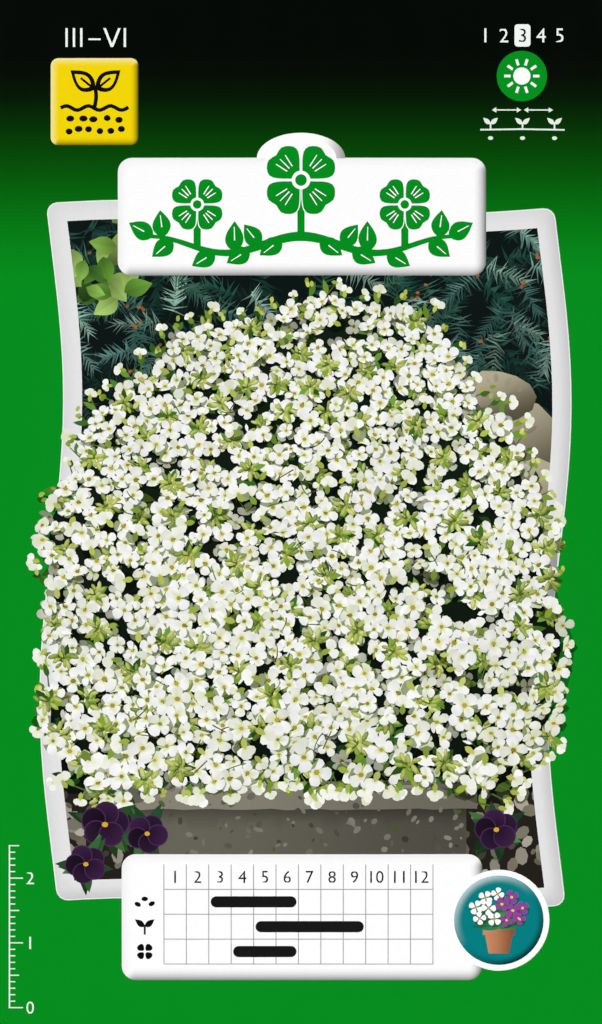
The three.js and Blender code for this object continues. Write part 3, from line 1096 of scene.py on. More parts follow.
# Small signs at the top of the front
signs = {
    "pale": "#f4f8f4",
    "black": "#080804",
    "numeralTop": 75.6,
    "numeralHeight": 2.95,
    "numeralBreadth": 0.36,
    "numeralCentre": -32.1,
    "numeralReach": 4.7,
    "strokeStep": 1.15,
    "dash": (3.6, 1.9, 0.36, 0.28),  # place, length, share of the height, breadth
    "fiveGap": 2.3,  # from the start of the dash
    "fiveStrokes": [(1.17, 1.57, 0.42, 0.0), (1.17, 1.57, 2.74, 2.32)],
    "lastStroke": 3.2,
    "square": (-39.1, 57.3, -25.4, 70.9),
    "squareRadius": 1.2,
    "squareEdge": 1.2,
    "squareFace": "#f4d701",
    "squareTones": ("#514a00", "#6f6400", "#f7eaa0"),
    "soil": (5.3, 0.34, 0.58),  # reach, wave and breadth
    "seedling": (3.4, 0.6, 0.55),  # height and breadth of the stem, turn of the leaves
    "leaf": (4.9, 3.0),
    "leafFace": (0.85, 3.2, 1.85),  # start, length and breadth
    "leafRib": (0.7, 2.9, 0.36),  # start, end and breadth
    "seedRows": ((-2.75, 5), (-4.45, 6)),
    "seedReach": 4.8,
    "disc": (34.5, 68.1, 3.95),
    "discTone": "#008f1d",
    "sunRays": (10, 1.75, 2.75, 0.42),  # count, start, end and breadth
    "sunRadius": 1.35,
    "scaleCentre": 34.6,
    "scaleLevel": 73.35,
    "scaleHeight": 2.2,
    "scaleStep": 2.9,
    "scaleMark": (1.25, 0.65, 0.5),  # half width, room above and below, corner radius
}


def drawNumerals():  # plain Roman numerals for the sowing months, three to six
    white, high = linear(signs["pale"]), signs["numeralHeight"]
    top, breadth = signs["numeralTop"], signs["numeralBreadth"]
    bottom = top - high
    x = signs["numeralCentre"] - signs["numeralReach"]
    place, length, share, thick = signs["dash"]
    dash, level = x + place, bottom + high * share
    five = dash + signs["fiveGap"]
    for at in [x + number * signs["strokeStep"] for number in range(3)]:
        draw(block(at, bottom, at + breadth, top), white)
    draw(block(dash, level, dash + length, level + thick), white)
    for a, b, c, d in signs["fiveStrokes"]:
        draw([(five + a, bottom), (five + b, bottom), (five + c, top), (five + d, top)], white)
    at = five + signs["lastStroke"]
    draw(block(at, bottom, at + breadth, top), white)


def drawSquare():  # a seedling over two rows of seeds
    box = signs["square"]
    radius, edge, face = signs["squareRadius"], signs["squareEdge"], signs["squareFace"]
    drawRaisedBox(box, radius, edge, face, signs["squareTones"], 3)
    black, yellow = linear(signs["black"]), linear(face)
    cx, cy = (box[0] + box[2]) / 2, (box[1] + box[3]) / 2
    reach, wave, thick = signs["soil"]
    soil = [(cx - reach + 2 * reach * i / 24, cy - 1.0 + wave * sin(i * 0.8)) for i in range(25)]
    draw(thickLine(soil, thick), black)
    high, thick, lean = signs["seedling"]
    stem = [(cx + 0.25 * sin(t * 3), cy - 0.9 + high * t) for t in (i / 6 for i in range(7))]
    draw(thickLine(stem, thick), black)
    x, y = stem[-2]
    start, length, breadth = signs["leafFace"]
    near, far, rib = signs["leafRib"]
    for turn, bend in ((lean, 0.1), (pi - lean, -0.1)):
        c, s = cos(turn), sin(turn)
        draw(leafOutline(x, y, turn, *signs["leaf"], bend, 10), black)
        draw(leafOutline(x + start * c, y + start * s, turn, length, breadth, bend, 10), yellow)
        tip = (x + far * cos(turn + bend), y + far * sin(turn + bend))
        draw(thickLine([(x + near * c, y + near * s), tip], rib), black)
    rng, reach = random.Random(5), signs["seedReach"]
    for level, count in signs["seedRows"]:
        for number in range(count):
            x = cx - reach + 2 * reach * (number + 0.5) / count + rng.uniform(-0.2, 0.2)
            draw(ellipse(x, cy + level + rng.uniform(-0.22, 0.22), rng.uniform(0.52, 0.66), 0.48, 14), black)


def drawRays(x, y, count, near, far, breadth, ink):
    for number in range(count):
        draw(thickLine(spoke(x, y, number * pi / (count / 2), near, far), breadth), ink)


def drawSun():  # white sun on the green disc: a plant for a sunny place
    x, y, radius = signs["disc"]
    draw(ellipse(x, y, radius, radius, 40), linear(signs["discTone"]))
    drawRays(x, y, *signs["sunRays"], pureWhite)
    draw(ellipse(x, y, signs["sunRadius"], signs["sunRadius"], 24), pureWhite)


def drawScale():  # hardiness from one to five, with the middle one marked
    white, level, high = linear(signs["pale"]), signs["scaleLevel"], signs["scaleHeight"]
    wide, room, corner = signs["scaleMark"]
    for number in range(5):
        x, ink = signs["scaleCentre"] + (number - 2) * signs["scaleStep"], white
        if number == 2:
            draw(roundedBox(x - wide, level - room, x + wide, level + high + room, corner), white)
            ink = linear(signs["black"])
        drawNumber(str(number + 1), x, level, high, ink)


# Sign for spacing: three seedlings on a line of soil, with arrows over the gaps
spacing = {
    "tone": "#e6efe6",
    "level": 59.7,
    "reach": 6.6,
    "step": 5.0,
    "breadth": 0.26,
    "seed": (1.3, 0.42, 0.3),  # depth and size
    "stem": 1.2,
    "leaves": (0.6, 1.5, 0.75),  # turn, length and breadth
    "leafLevel": 0.9,
    "arrowLevel": 3.1,
    "arrow": (2.1, 0.2),  # reach and breadth
    "arrowHead": (2.3, 1.6, 0.42),  # tip, foot and half breadth
}


def drawSpacing():
    white, x, level = linear(spacing["tone"]), signs["scaleCentre"], spacing["level"]
    reach, breadth, step = spacing["reach"], spacing["breadth"], spacing["step"]
    depth, long, wide = spacing["seed"]
    draw(thickLine([(x - reach, level), (x, level + 0.1), (x + reach, level)], breadth), white)
    for number in range(3):
        at = x + (number - 1) * step
        draw(ellipse(at, level - depth, long, wide, 10), white)
        draw(thickLine([(at, level), (at, level + spacing["stem"])], breadth), white)
        leafPair(at, level + spacing["leafLevel"], *spacing["leaves"], white, 5)
    reach, breadth = spacing["arrow"]
    tip, foot, half = spacing["arrowHead"]
    y = level + spacing["arrowLevel"]
    for number in range(2):
        at = x + (number - 0.5) * step
        draw(thickLine([(at - reach, y), (at + reach, y)], breadth), white)
        for side in (-1, 1):
            draw([(at + side * tip, y), (at + side * foot, y + half), (at + side * foot, y - half)], white)


# A small ruler at the left edge, for the sowing depth
ruler = {
    "left": -45.0,
    "bottom": -76.5,
    "length": 25,
    "marks": (0.9, 1.5, 2.1),  # each millimetre, five and ten
    "breadth": 0.22,
    "numberHeight": 1.9,
    "numberPlace": 3.2,
    "tone": "#eef6ee",
}


def drawRuler():
    white, left, bottom = linear(ruler["tone"]), ruler["left"], ruler["bottom"]
    length, breadth, high = ruler["length"], ruler["breadth"], ruler["numberHeight"]
    draw(thickLine([(left, bottom - breadth / 2), (left, bottom + length + breadth / 2)], breadth), white)
    for number in range(length + 1):
        size = ruler["marks"][(number % 5 == 0) + (number % 10 == 0)]
        draw(thickLine([(left, bottom + number), (left + size, bottom + number)], breadth * 0.8), white)
        if number % 10 == 0:
            level = bottom + number - high / 2
            drawNumber(str(number // 10), left + ruler["numberPlace"], level, high, white)


# The round sign beside the name plate: a flower pot on teal
potSign = {
    "centre": (30.9, -63.75),
    "ring": 7.9,
    "disc": 7.0,
    "edge": 1.3,
    "teal": "#007e82",
    "light": "#b8d0d2",
    "dark": "#062320",
    "clay": "#c98a62",
    "clayDark": "#8a5236",
    "pot": [(-1.6, -5.2), (1.6, -5.2), (2.2, -2.0), (-2.2, -2.0)],
    "potRim": [(-2.5, -2.3), (2.5, -2.3), (2.5, -1.3), (-2.5, -1.3)],
    "purple": "#9a3fa0",
    "whiteEye": "#b9a636",
    "purpleEye": "#f0c860",
    "leafCount": 30,
    "leafTones": ["#1f6b3a", "#3f8f45", "#2a7d5b"],
    "blossoms": [(-0.2, 4.1, 1.0), (-2.1, 3.5, 1.1), (2.0, 3.6, 1.1), (-3.6, 2.0, 1.1), (3.7, 1.9, 1.05),
                 (-1.6, 1.9, 1.15), (0.5, 2.5, 1.1), (2.2, 1.5, 1.1), (-3.0, 0.3, 1.0), (-0.7, 0.2, 1.1),
                 (1.2, 0.0, 1.0), (3.2, 0.2, 0.95)],
}


def drawPotSign(rng):
    x, y = potSign["centre"]
    teal, light, dark = (linear(potSign[key]) for key in ("teal", "light", "dark"))
    draw(ellipse(x, y, potSign["ring"], potSign["ring"], 56), pureWhite)

    def ink(u, v):
        reach = hypot(u - x, v - y)
        share = ease(reach, potSign["disc"] - potSign["edge"], potSign["disc"])
        lit = ((x - u) * 0.6 + (v - y) * 0.8) / max(reach, 0.01)
        return mix(teal, light if lit > 0 else dark, share * abs(lit))

    for number in range(5):
        radius = potSign["disc"] - potSign["edge"] * number / 4
        draw(ellipse(x, y, radius, radius, 48), ink)
    clay, clayDark = linear(potSign["clay"]), linear(potSign["clayDark"])

    def clayInk(u, v):
        return mix(clay, clayDark, ease(u - x, -1.8, 2.2))

    for part in ("pot", "potRim"):
        draw([(x + a, y + b) for a, b in potSign[part]], clayInk)
    for number in range(potSign["leafCount"]):
        turn = pi * (number + 0.5) / potSign["leafCount"] + rng.uniform(-0.1, 0.1)
        tone = pick(rng, potSign["leafTones"])
        draw(leafOutline(x, y - 1.3, turn, rng.uniform(3.0, 5.0), 0.7, rng.uniform(-0.2, 0.2), 5), tone)
    whiteInks = pureWhite, linear(potSign["whiteEye"])
    purpleInks = linear(potSign["purple"]), linear(potSign["purpleEye"])
    for a, b, size in potSign["blossoms"]:
        shade(ellipse(x + a + 0.1, y + b - 0.25, size, size, 10), (0.55, 0.6, 0.6))
        flowerEmblem(x + a, y + b, size, *(whiteInks if a < 0.3 else purpleInks), a)


# Dark broad-petalled flowers at the foot of the cushion
violets = {
    "places": [(-30.6, -48.8, 3.9, 0.2), (-24.0, -50.2, 3.3, 1.1),
               (-33.6, -55.0, 3.3, 0.7), (30.5, -49.6, 3.5, 0.5)],
    "leafCount": 11,
    "petals": ["#24112a", "#301737", "#190b1e"],
    "edge": "#472850",
    "eye": "#d8a832",
    "leaves": ["#2f5a2b", "#3d7040", "#24492a", "#4f8a4a"],
}


def drawViolets(rng):
    tones, edge = [linear(tone) for tone in violets["petals"]], linear(violets["edge"])
    for x, y, size, start in violets["places"]:
        for _ in range(violets["leafCount"]):
            turn = anyTurn(rng)
            tone = times(pick(rng, violets["leaves"]), rng.uniform(0.35, 0.95))
            length, bend = size * rng.uniform(1.2, 1.6), rng.uniform(-0.2, 0.2)
            draw(leafOutline(x, y, turn, length, size * 0.5, bend, 6), tone)
        for number in range(5):
            turn = number * 2 * pi / 5 + start
            cx, cy = x + size * 0.5 * cos(turn), y + size * 0.44 * sin(turn)
            outline = ellipse(cx, cy, size * 0.5, size * 0.52, 16, turn)
            draw(outline, edge)
            draw([(cx + (a - cx) * 0.9, cy + (b - cy) * 0.9) for a, b in outline],
                 lambda u, v, tone=tones[number % 3], x=x, y=y, size=size:
                 times(tone, 0.5 + 0.9 * ease(hypot(u - x, v - y), 0, size)))
        draw(ellipse(x, y, size * 0.13, size * 0.11, 8), linear(violets["eye"]))


# The back panel: a pale plate with the calendar, signs and lines for notes
backPrint = {
    "centre": backStart - backLength / 2,
    "half": (38, 58),
    "face": "#f3f2ea",
    "edge": (3, 1.2, ("#9c9c94", "#a8a8a0", "#fbfbf6")),  # corner radius, breadth and tones
    "calendar": (26, 50, 4.9, 5.2),  # left of the centre, top, a column and a row
    "rowSigns": 4.4,
    "signLevel": 14,
    "signStep": 23,
    "ring": (7.4, 6.7),
    "rays": (12, 3.3, 5, 0.6),
    "sun": 2.6,
    "drop": (4.8, 1.3, 2.9),  # tip, then depth and radius of its round end
    "soil": (4.6, 1.6),  # reach and depth
    "seedlings": (-2.6, 2.6),
    "leaves": (0.7, 2.6, 1.2),  # turn, length and breadth
    "line": 0.45,
    "green": "#008d1c",
    "noteLines": 7,
    "noteStep": 6.5,
    "noteTop": -6,
    "note": (31, 0.22, "#8fb58f"),  # reach, breadth and tone
    "emblem": (-52, 3.0),
}


def drawBackSun(x, y, green):
    drawRays(x, y, *backPrint["rays"], green)
    draw(ellipse(x, y, backPrint["sun"], backPrint["sun"], 28), green)


def drawDrop(x, y, green):
    tip, depth, radius = backPrint["drop"]
    turns = [radians(30 - 240 * i / 20) for i in range(21)]
    bowl = [(x + radius * cos(a), y - depth + radius * sin(a)) for a in turns]
    draw([(x, y + tip)] + bowl, green)


def drawBackSpacing(x, y, green):
    (reach, depth), breadth = backPrint["soil"], backPrint["line"]
    draw(thickLine([(x - reach, y - depth), (x + reach, y - depth)], breadth), green)
    for at in backPrint["seedlings"]:
        draw(thickLine([(x + at, y - depth), (x + at, y + 1.4)], breadth), green)
        leafPair(x + at, y + 0.9, *backPrint["leaves"], green, 6)


def drawBack():
    x, (wide, high) = backPrint["centre"], backPrint["half"]
    green, black = linear(backPrint["green"]), linear(signs["black"])
    radius, breadth, tones = backPrint["edge"]
    drawRaisedBox((x - wide, -high, x + wide, high), radius, breadth, backPrint["face"], tones, 2)
    reach, top, column, row = backPrint["calendar"]
    drawCalendar(x - reach, top, column, row)
    drawRowSigns(x - reach - backPrint["rowSigns"], top, row, black)
    for number, sign in enumerate((drawBackSun, drawDrop, drawBackSpacing)):
        cx, cy = x + (number - 1) * backPrint["signStep"], backPrint["signLevel"]
        for size, ink in zip(backPrint["ring"], (green, pureWhite)):
            draw(ellipse(cx, cy, size, size, 40), ink)
        sign(cx, cy, green)
    reach, breadth, tone = backPrint["note"]
    for number in range(backPrint["noteLines"]):
        y = backPrint["noteTop"] - number * backPrint["noteStep"]
        draw(thickLine([(x - reach, y), (x + reach, y)], breadth), linear(tone))
    flowerEmblem(x, *backPrint["emblem"], green, linear(backPrint["face"]))


printShare = 0.988  # the front print against its panel: the folds then leave all of it on the front


def drawInwards(share):  # sets all that is drawn so far smaller, towards the middle
    for number, (outline, ink, inside, isShade) in enumerate(artwork):
        def smallInk(u, v, ink=ink):
            return ink(u / share, v / share)

        small = [(u * share, v * share) for u, v in outline]
        artwork[number] = (small, smallInk if callable(ink) else ink, inside, isShade)


def drawFront():
    drawGround()
    window = drawBorder()
    rng = random.Random(1729)
    drawFoliage(window, rng)
    for place in stone["places"]:
        drawStone(*place, window, rng)
    drawSoil(window, rng)
    drawTrough(rng)
    drawCushion(rng)
    drawViolets(rng)
    drawPlates()
    drawGarland()
    drawNumerals()
    drawSquare()
    drawSun()
    drawScale()
    drawSpacing()
    nameLeft, _, _, nameTop = plates["name"]
    reach, drop, column, row = calendar["onPlate"]
    drawCalendar(nameLeft + reach, nameTop - drop, column, row)
    drawRowSigns(nameLeft + calendar["signsOnPlate"], nameTop - drop, row, linear(signs["black"]))
    drawPotSign(rng)
    drawInwards(printShare)
    drawRuler()


drawFront()
drawBack()
print(f"artwork drawn: {len(artwork)} outlines")


def roundedCorner(before, corner, after, radius, count=5):
    found = []
    for i in range(count + 1):
        t = i / count
        ways = []
        for end in (before, after):
            length = hypot(end[0] - corner[0], end[1] - corner[1])
            ways.append(((end[0] - corner[0]) / length * radius, (end[1] - corner[1]) / length * radius))
        (ax, ay), (bx, by) = ways
        found.append((corner[0] + ax * (1 - t) ** 2 + bx * t * t, corner[1] + ay * (1 - t) ** 2 + by * t * t))
    return found


def sheetOutline():
    corners = [
        (-flapHalf, bottomEnd), (flapHalf, bottomEnd), (flapHalf, frontBottom), (frontRight, frontBottom),
        (frontRight, -wingTop), (sideEnd, -wingTop), (sideEnd, wingTop), (frontRight, wingTop),
        (frontRight, frontTop), (flapHalf, frontTop), (flapHalf, topEnd), (-flapHalf, topEnd),
        (-flapHalf, frontTop), (frontLeft, frontTop), (frontLeft, wingTop), (backEnd, wingTop),
        (backEnd, -wingTop), (frontLeft, -wingTop), (frontLeft, frontBottom), (-flapHalf, frontBottom),
    ]
    found = []
    for number, (x, y) in enumerate(corners):
        if x == sideEnd or y in (topEnd, bottomEnd):
            before, after = corners[number - 1], corners[(number + 1) % len(corners)]
            found += roundedCorner(before, (x, y), after, blank["cornerRadius"])
        else:
            found.append((x, y))
    return found


def inSheet(u, v, inset):
    inFront = frontLeft + inset < u < frontRight - inset and abs(v) < frontTop - inset
    inWings = abs(v) < wingTop - inset and backEnd + inset < u < sideEnd - inset
    inFlaps = abs(u) < flapHalf - inset and bottomEnd + inset < v < topEnd - inset
    return inFront or inWings or inFlaps


def foldLines():
    found = []
    steps = blank["foldSteps"]
    for i in range(steps + 1):
        left = frontLeft - pi * leftRadius * i / steps
        right = frontRight + pi * rightRadius * i / steps
        level = frontTop + pi * flapRadius * i / steps
        found += [((x, -wingTop), (x, wingTop)) for x in (left, right)]
        found += [((-flapHalf, y), (flapHalf, y)) for y in (level, -level)]
    return found


def sheetGrid(step, inset):
    found = []
    v = bottomEnd
    while v < topEnd:
        u = backEnd
        while u < sideEnd:
            if inSheet(u, v, inset):
                found.append((u, v))
            u += step
        v += step
    for line in foldLines():  # points along each fold, so that it bends evenly
        (ax, ay), (bx, by) = line
        count = int(hypot(bx - ax, by - ay) / step)
        found += [(ax + (bx - ax) * i / count, ay + (by - ay) * i / count) for i in range(1, count)]
    return found


def triangulate(points, edges, faces):
    flat = [Vector(p) for p in points]
    made = delaunay_2d_cdt(flat, edges, faces, 0, fineness["closeness"], True)
    found, _, triangles, sources, _, owners = made
    return found, triangles, sources, owners


def addLoop(points, edges, outline):
    start = len(points)
    points += outline
    edges += [(start + i, start + (i + 1) % len(outline)) for i in range(len(outline))]


def addFolds(points, edges):
    for a, b in foldLines():
        edges.append((len(points), len(points) + 1))
        points += [a, b]


def edgesOf(triangle):
    a, b, c = triangle
    return (a, b), (b, c), (c, a)


def sizeOf(triangle, points):
    a, b, c = triangle
    one, two = points[b] - points[a], points[c] - points[a]
    return abs(one.x * two.y - one.y * two.x) / 2


def sidesOf(triangles):  # which triangles each edge belongs to
    sides = {}
    for number, corners in enumerate(triangles):
        for p, q in edgesOf(corners):
            sides.setdefault((min(p, q), max(p, q)), []).append(number)
    return sides


def openEdges(triangles):  # edges that have a triangle on one side only
    found = {}
    for corners in triangles:
        for p, q in edgesOf(corners):
            if (q, p) in found:
                del found[(q, p)]
            else:
                found[(p, q)] = True
    return list(found)


def spilled(triangles, points, owners):  # outlines so thin that their ink ran out of them
    areas = {}
    for corners, found in zip(triangles, owners):
        size = sizeOf(corners, points)
        for number in found:
            areas[number] = areas.get(number, 0) + size
    share, more = fineness["spill"]
    return {number for number, area in areas.items() if area > share * areaOf(artwork[number][0]) + more}


def whatShows(owners):  # the top ink over a place, with the shadows that lie on it
    shadows = []
    for number in sorted(owners, reverse=True):
        _, _, inside, isShade = artwork[number]
        if inside is not None and inside not in owners:
            continue
        if isShade:
            shadows.append(number)
        else:
            return number, tuple(shadows)
    return None


def straightened(edges, points):  # drops the points along a straight stretch of outline
    near = {}
    for a, b in edges:
        near.setdefault(a, set()).add(b)
        near.setdefault(b, set()).add(a)
    for p in list(near):
        if len(near[p]) != 2:
            continue
        a, b = near[p]
        if b in near[a]:
            continue
        one, two = points[p] - points[a], points[b] - points[p]
        turn, length = abs(one.x * two.y - one.y * two.x), one.length + two.length
        if one.dot(two) > 0 and turn < fineness["straight"] * length and length < fineness["longestEdge"]:
            near[a].remove(p)
            near[b].remove(p)
            near[a].add(b)
            near[b].add(a)
            del near[p]
    return {(a, b) for a in near for b in near[a] if a < b}


def withoutSpecks(shows, sides, triangles, points):  # gives tiny spots the ink of what surrounds them
    near = [[] for _ in triangles]
    for (p, q), pair in sides.items():
        if len(pair) == 2:
            length = (points[p] - points[q]).length
            near[pair[0]].append((pair[1], length))
            near[pair[1]].append((pair[0], length))
    areas = [sizeOf(corners, points) for corners in triangles]
    seen = [False] * len(triangles)
    for first in range(len(triangles)):
        if seen[first]:
            continue
        seen[first] = True
        spot, area, k = [first], areas[first], 0
        while k < len(spot):
            for other, _ in near[spot[k]]:
                if not seen[other] and shows[other] == shows[first]:
                    seen[other] = True
                    spot.append(other)
                    area += areas[other]
            k += 1
        if area < fineness["smallestSpot"]:
            borders = {}
            for number in spot:
                for other, length in near[number]:
                    if shows[other] != shows[first] and shows[other]:
                        borders[shows[other]] = borders.get(shows[other], 0) + length
            if borders:
                best = max(borders, key=borders.get)
                for number in spot:
                    shows[number] = best
    return shows


def printedSheet():
    # First every outline is laid over the others, to see which ink is on top where.
    points, faces = [], []
    for outline, _, _, _ in artwork:
        faces.append(list(range(len(points), len(points) + len(outline))))
        points += outline
    found, triangles, _, owners = triangulate(points, [], faces)
    spoiled = spilled(triangles, found, owners)
    shows = [whatShows(set(o) - spoiled) for o in owners]
    print(f"{len(spoiled)} outlines left out")
    sides = sidesOf(triangles)
    shows = withoutSpecks(shows, sides, triangles, found)
    seen = {edge for edge, pair in sides.items() if len({shows[number] for number in pair}) > 1}
    seen = straightened(seen, found)
    print(f"overlay has {len(triangles)} triangles and {len(seen)} visible edges")

    # Then only the edges that show are cut into the sheet, with its folds and its outline.
    used = sorted({p for edge in seen for p in edge})
    place = {p: i for i, p in enumerate(used)}
    points = [tuple(found[p]) for p in used]
    edges = []
    for a, b in seen:  # long edges are cut up, so that they follow the pillow shape
        count = max(1, ceil((found[a] - found[b]).length / blank["gridStep"]))
        line = [place[a]] + list(range(len(points), len(points) + count - 1)) + [place[b]]
        points += [tuple(found[a].lerp(found[b], i / count)) for i in range(1, count)]
        edges += list(zip(line, line[1:]))
    addLoop(points, edges, sheetOutline())
    addFolds(points, edges)
    points += sheetGrid(blank["gridStep"], fineness["gridInset"][0])
    sheetPoints, sheetTriangles, _, _ = triangulate(points, edges, [])
    overlay = BVHTree.FromPolygons([(p.x, p.y, 0) for p in found], triangles)
    kept, inks = [], []
    for corners in sheetTriangles:
        middle = sum((sheetPoints[i] for i in corners), Vector((0, 0))) / 3
        if not inSheet(middle.x, middle.y, 0) or cutAway(middle.x, middle.y):
            continue
        _, _, hit, _ = overlay.ray_cast(Vector((middle.x, middle.y, 1)), Vector((0, 0, -1)))
        kept.append(tuple(corners))
        inks.append(shows[hit])
    return sheetPoints, kept, inks


def cutAway(u, v):  # outside the rounded corners of the flaps
    radius = blank["cornerRadius"]
    for x, y in ((flapHalf, topEnd), (flapHalf, bottomEnd), (sideEnd, wingTop), (sideEnd, -wingTop)):
        spots = ((u, v),) if x == sideEnd else ((u, v), (-u, v))
        for a, b in spots:
            dx, dy = abs(a - x), abs(b - y)
            if a < x and (b < y if y > 0 else b > y) and dx < radius and dy < radius:
                if sqrt(dx / radius) + sqrt(dy / radius) < 1:
                    return True
    return False


sheetPoints, sheetTriangles, sheetInks = printedSheet()
print(f"printed sheet has {len(sheetTriangles)} triangles")


# Map of the print: each part of the blank has its own place on a map 1024 wide
printMap = {
    "side": 1024,
    "front": (4, 6, 6.3),  # left, bottom and pixels in a millimetre
    "back": (606, 378, 4.0),
    "topFlap": (606, 286, 4.0),
    "bottomFlap": (606, 216, 4.0),
    "sideFlap": (606, 180, 2.3),
    "inner": (606, 6, 0.82),
    "rim": (780, 10, 1.0),
    "rimRow": 200,
    "rimStrip": (0.5, 3, 5),  # shortest piece, height, and step to the next row
}


def mapPlace(u, v):  # the island that a place of the printed face belongs to
    if v > frontTop:
        return "topFlap", -flapHalf, frontTop, False
    if v < frontBottom:
        return "bottomFlap", -flapHalf, bottomEnd, False
    if u < frontLeft:
        return "back", backEnd, -wingTop, False
    if u > frontRight + pi * rightRadius:
        return "sideFlap", frontRight + pi * rightRadius, -wingTop, True
    return "front", frontLeft, frontBottom, False


def mapped(place, u, v):
    name, left, bottom, turned = place
    x, y, scale = printMap[name]
    across, up = (v - bottom, u - left) if turned else (u - left, v - bottom)
    return (x + across * scale) / printMap["side"], (y + up * scale) / printMap["side"]


def foldWear(u, v):  # 1 on the crest of a fold, 0 away from it
    found = 0.0
    if -wingTop <= v <= wingTop:
        for distance, radius in ((frontLeft - u, leftRadius), (u - frontRight, rightRadius)):
            found = max(found, 1 - abs(distance / (pi * radius) - 0.45) * 1.6)
    if abs(u) <= flapHalf:
        found = max(found, 1 - abs((abs(v) - frontTop) / (pi * flapRadius) - 0.45) * 1.6)
    return found


def inkAt(shown, u, v):
    number, shadows = shown
    ink = artwork[number][1]
    colour = ink(u, v) if callable(ink) else ink
    for shadow in shadows:
        colour = tinted(colour, artwork[shadow][1])
    return colour


def buildEnvelope():
    # Printed face
    order = {}
    for corners in sheetTriangles:
        for p in corners:
            order.setdefault(p, len(order))
    flat = [None] * len(order)
    for p, number in order.items():
        flat[number] = (sheetPoints[p].x, sheetPoints[p].y)
    outer = [tuple(order[p] for p in corners) for corners in sheetTriangles]
    vertices = [placeOnPacket(u, v, 1) for u, v in flat]
    normals = [normalOnPacket(u, v) for u, v in flat]
    wear = [foldWear(u, v) for u, v in flat]

    # Inner face, with the same edge but far fewer triangles
    rimEdges = openEdges(outer)
    rimPoints = sorted({p for edge in rimEdges for p in edge})
    rimPlace = {p: i for i, p in enumerate(rimPoints)}
    points = [flat[p] for p in rimPoints]
    edges = [(rimPlace[a], rimPlace[b]) for a, b in rimEdges]
    addFolds(points, edges)
    points += sheetGrid(blank["gridStep"] * fineness["innerGrid"], fineness["gridInset"][1])
    innerPoints, innerTriangles, sources, _ = triangulate(points, edges, [])
    start = len(vertices)
    for p in innerPoints:
        vertices.append(placeOnPacket(p.x, p.y, -1))
        normals.append(-normalOnPacket(p.x, p.y))
        wear.append(0.0)
    inner = []
    for corners in innerTriangles:
        middle = sum((innerPoints[i] for i in corners), Vector((0, 0))) / 3
        if inSheet(middle.x, middle.y, 0) and not cutAway(middle.x, middle.y):
            inner.append(tuple(start + i for i in reversed(corners)))
    innerOf = {}
    for number, found in enumerate(sources):
        for source in found:
            if source < len(rimPoints):
                innerOf[rimPoints[source]] = start + number

    # Cut edge between the two faces
    rim = [(a, innerOf[a], innerOf[b], b) for a, b in rimEdges if innerOf[a] != innerOf[b]]

    # Faces, colours, map and normals, corner by corner
    white = linear(paperLook["bareInk"])
    colours, uvs, cornerNormals = [], [], []
    for corners, shown in zip(outer, sheetInks):
        spots = [flat[p] for p in corners]
        place = mapPlace(sum(u for u, _ in spots) / 3, sum(v for _, v in spots) / 3)
        for p, (u, v) in zip(corners, spots):
            colours += (*inkAt(shown, u, v), 1)
            uvs += mapped(place, u, v)
            cornerNormals.append(normals[p])
    for corners in inner:
        for p in corners:
            spot = innerPoints[p - start]
            colours += (*white, 1)
            uvs += mapped(("inner", backEnd, bottomEnd, False), spot.x, spot.y)
            cornerNormals.append(normals[p])
    x, y, scale = printMap["rim"]
    shortest, high, step = printMap["rimStrip"]
    along = 0.0
    for a, ia, ib, b in rim:
        length = max(shortest, dist(flat[a], flat[b]) * scale)
        row = int(along / printMap["rimRow"])
        left, bottom = x + along % printMap["rimRow"], y + row * step
        facing = (vertices[ib] - vertices[a]).cross(vertices[b] - vertices[ia]).normalized()
        for p, (across, up) in zip((a, ia, ib, b), ((0, high), (0, 0), (length, 0), (length, high))):
            colours += (*white, 1)
            uvs += ((left + across) / printMap["side"], (bottom + up) / printMap["side"])
            cornerNormals.append(facing)
        along += length
    mesh = bpy.data.meshes.new("envelope_paper")
    mesh.from_pydata([v * mm for v in vertices], [], outer + inner + rim)
    mesh.attributes.new("ink", "FLOAT_COLOR", "CORNER").data.foreach_set("color", colours)
    mesh.attributes.new("foldWear", "FLOAT", "POINT").data.foreach_set("value", wear)
    mesh.uv_layers.new(name="OFBake").data.foreach_set("uv", uvs)
    mesh.polygons.foreach_set("material_index", [0] * len(outer) + [1] * (len(inner) + len(rim)))
    mesh.normals_split_custom_set(cornerNormals)
    print(f"envelope: {len(outer)} printed, {len(inner)} inner and {len(rim)} rim faces, rim map {along:.0f}")
    return newObject(mesh)


paperLook = {
    "roughness": 0.22,
    "grainSize": 0.55,  # of the fibre clumps under the ink
    "grainShare": 0.012,
    "fibreSize": 0.16,  # finer in life; drawn coarser so that it is seen at all
    "wearShare": 0.2,
    "bumpDepth": 0.0015,
    "innerTone": "#f1eee6",
    "fibreTone": "#e9e6dd",
    "bareInk": "#f4f2ec",
}


def newMaterial(name, roughness):
    material = bpy.data.materials.new(name)
    material.use_nodes = True
    tree = material.node_tree
    shader = tree.nodes["Principled BSDF"]
    shader.inputs["Roughness"].default_value = roughness
    return material, tree, shader


def addNoise(tree, place, size, detail):  # size is in millimetres
    settings = {"Scale": 1 / (size * mm), "Detail": detail}
    return addNode(tree, "ShaderNodeTexNoise", settings, {"Vector": place})


def addBump(tree, strength, depth, height):  # depth is in millimetres
    return addNode(tree, "ShaderNodeBump", {"Strength": strength, "Distance": depth * mm}, {"Height": height})


def addRamp(tree, factor, tone, dim):  # from the tone dimmed to the tone itself
    ramp = addNode(tree, "ShaderNodeValToRGB", None, {"Fac": factor})
    ramp.color_ramp.elements[0].color = (*times(linear(tone), dim), 1)
    ramp.color_ramp.elements[1].color = (*linear(tone), 1)
    return ramp


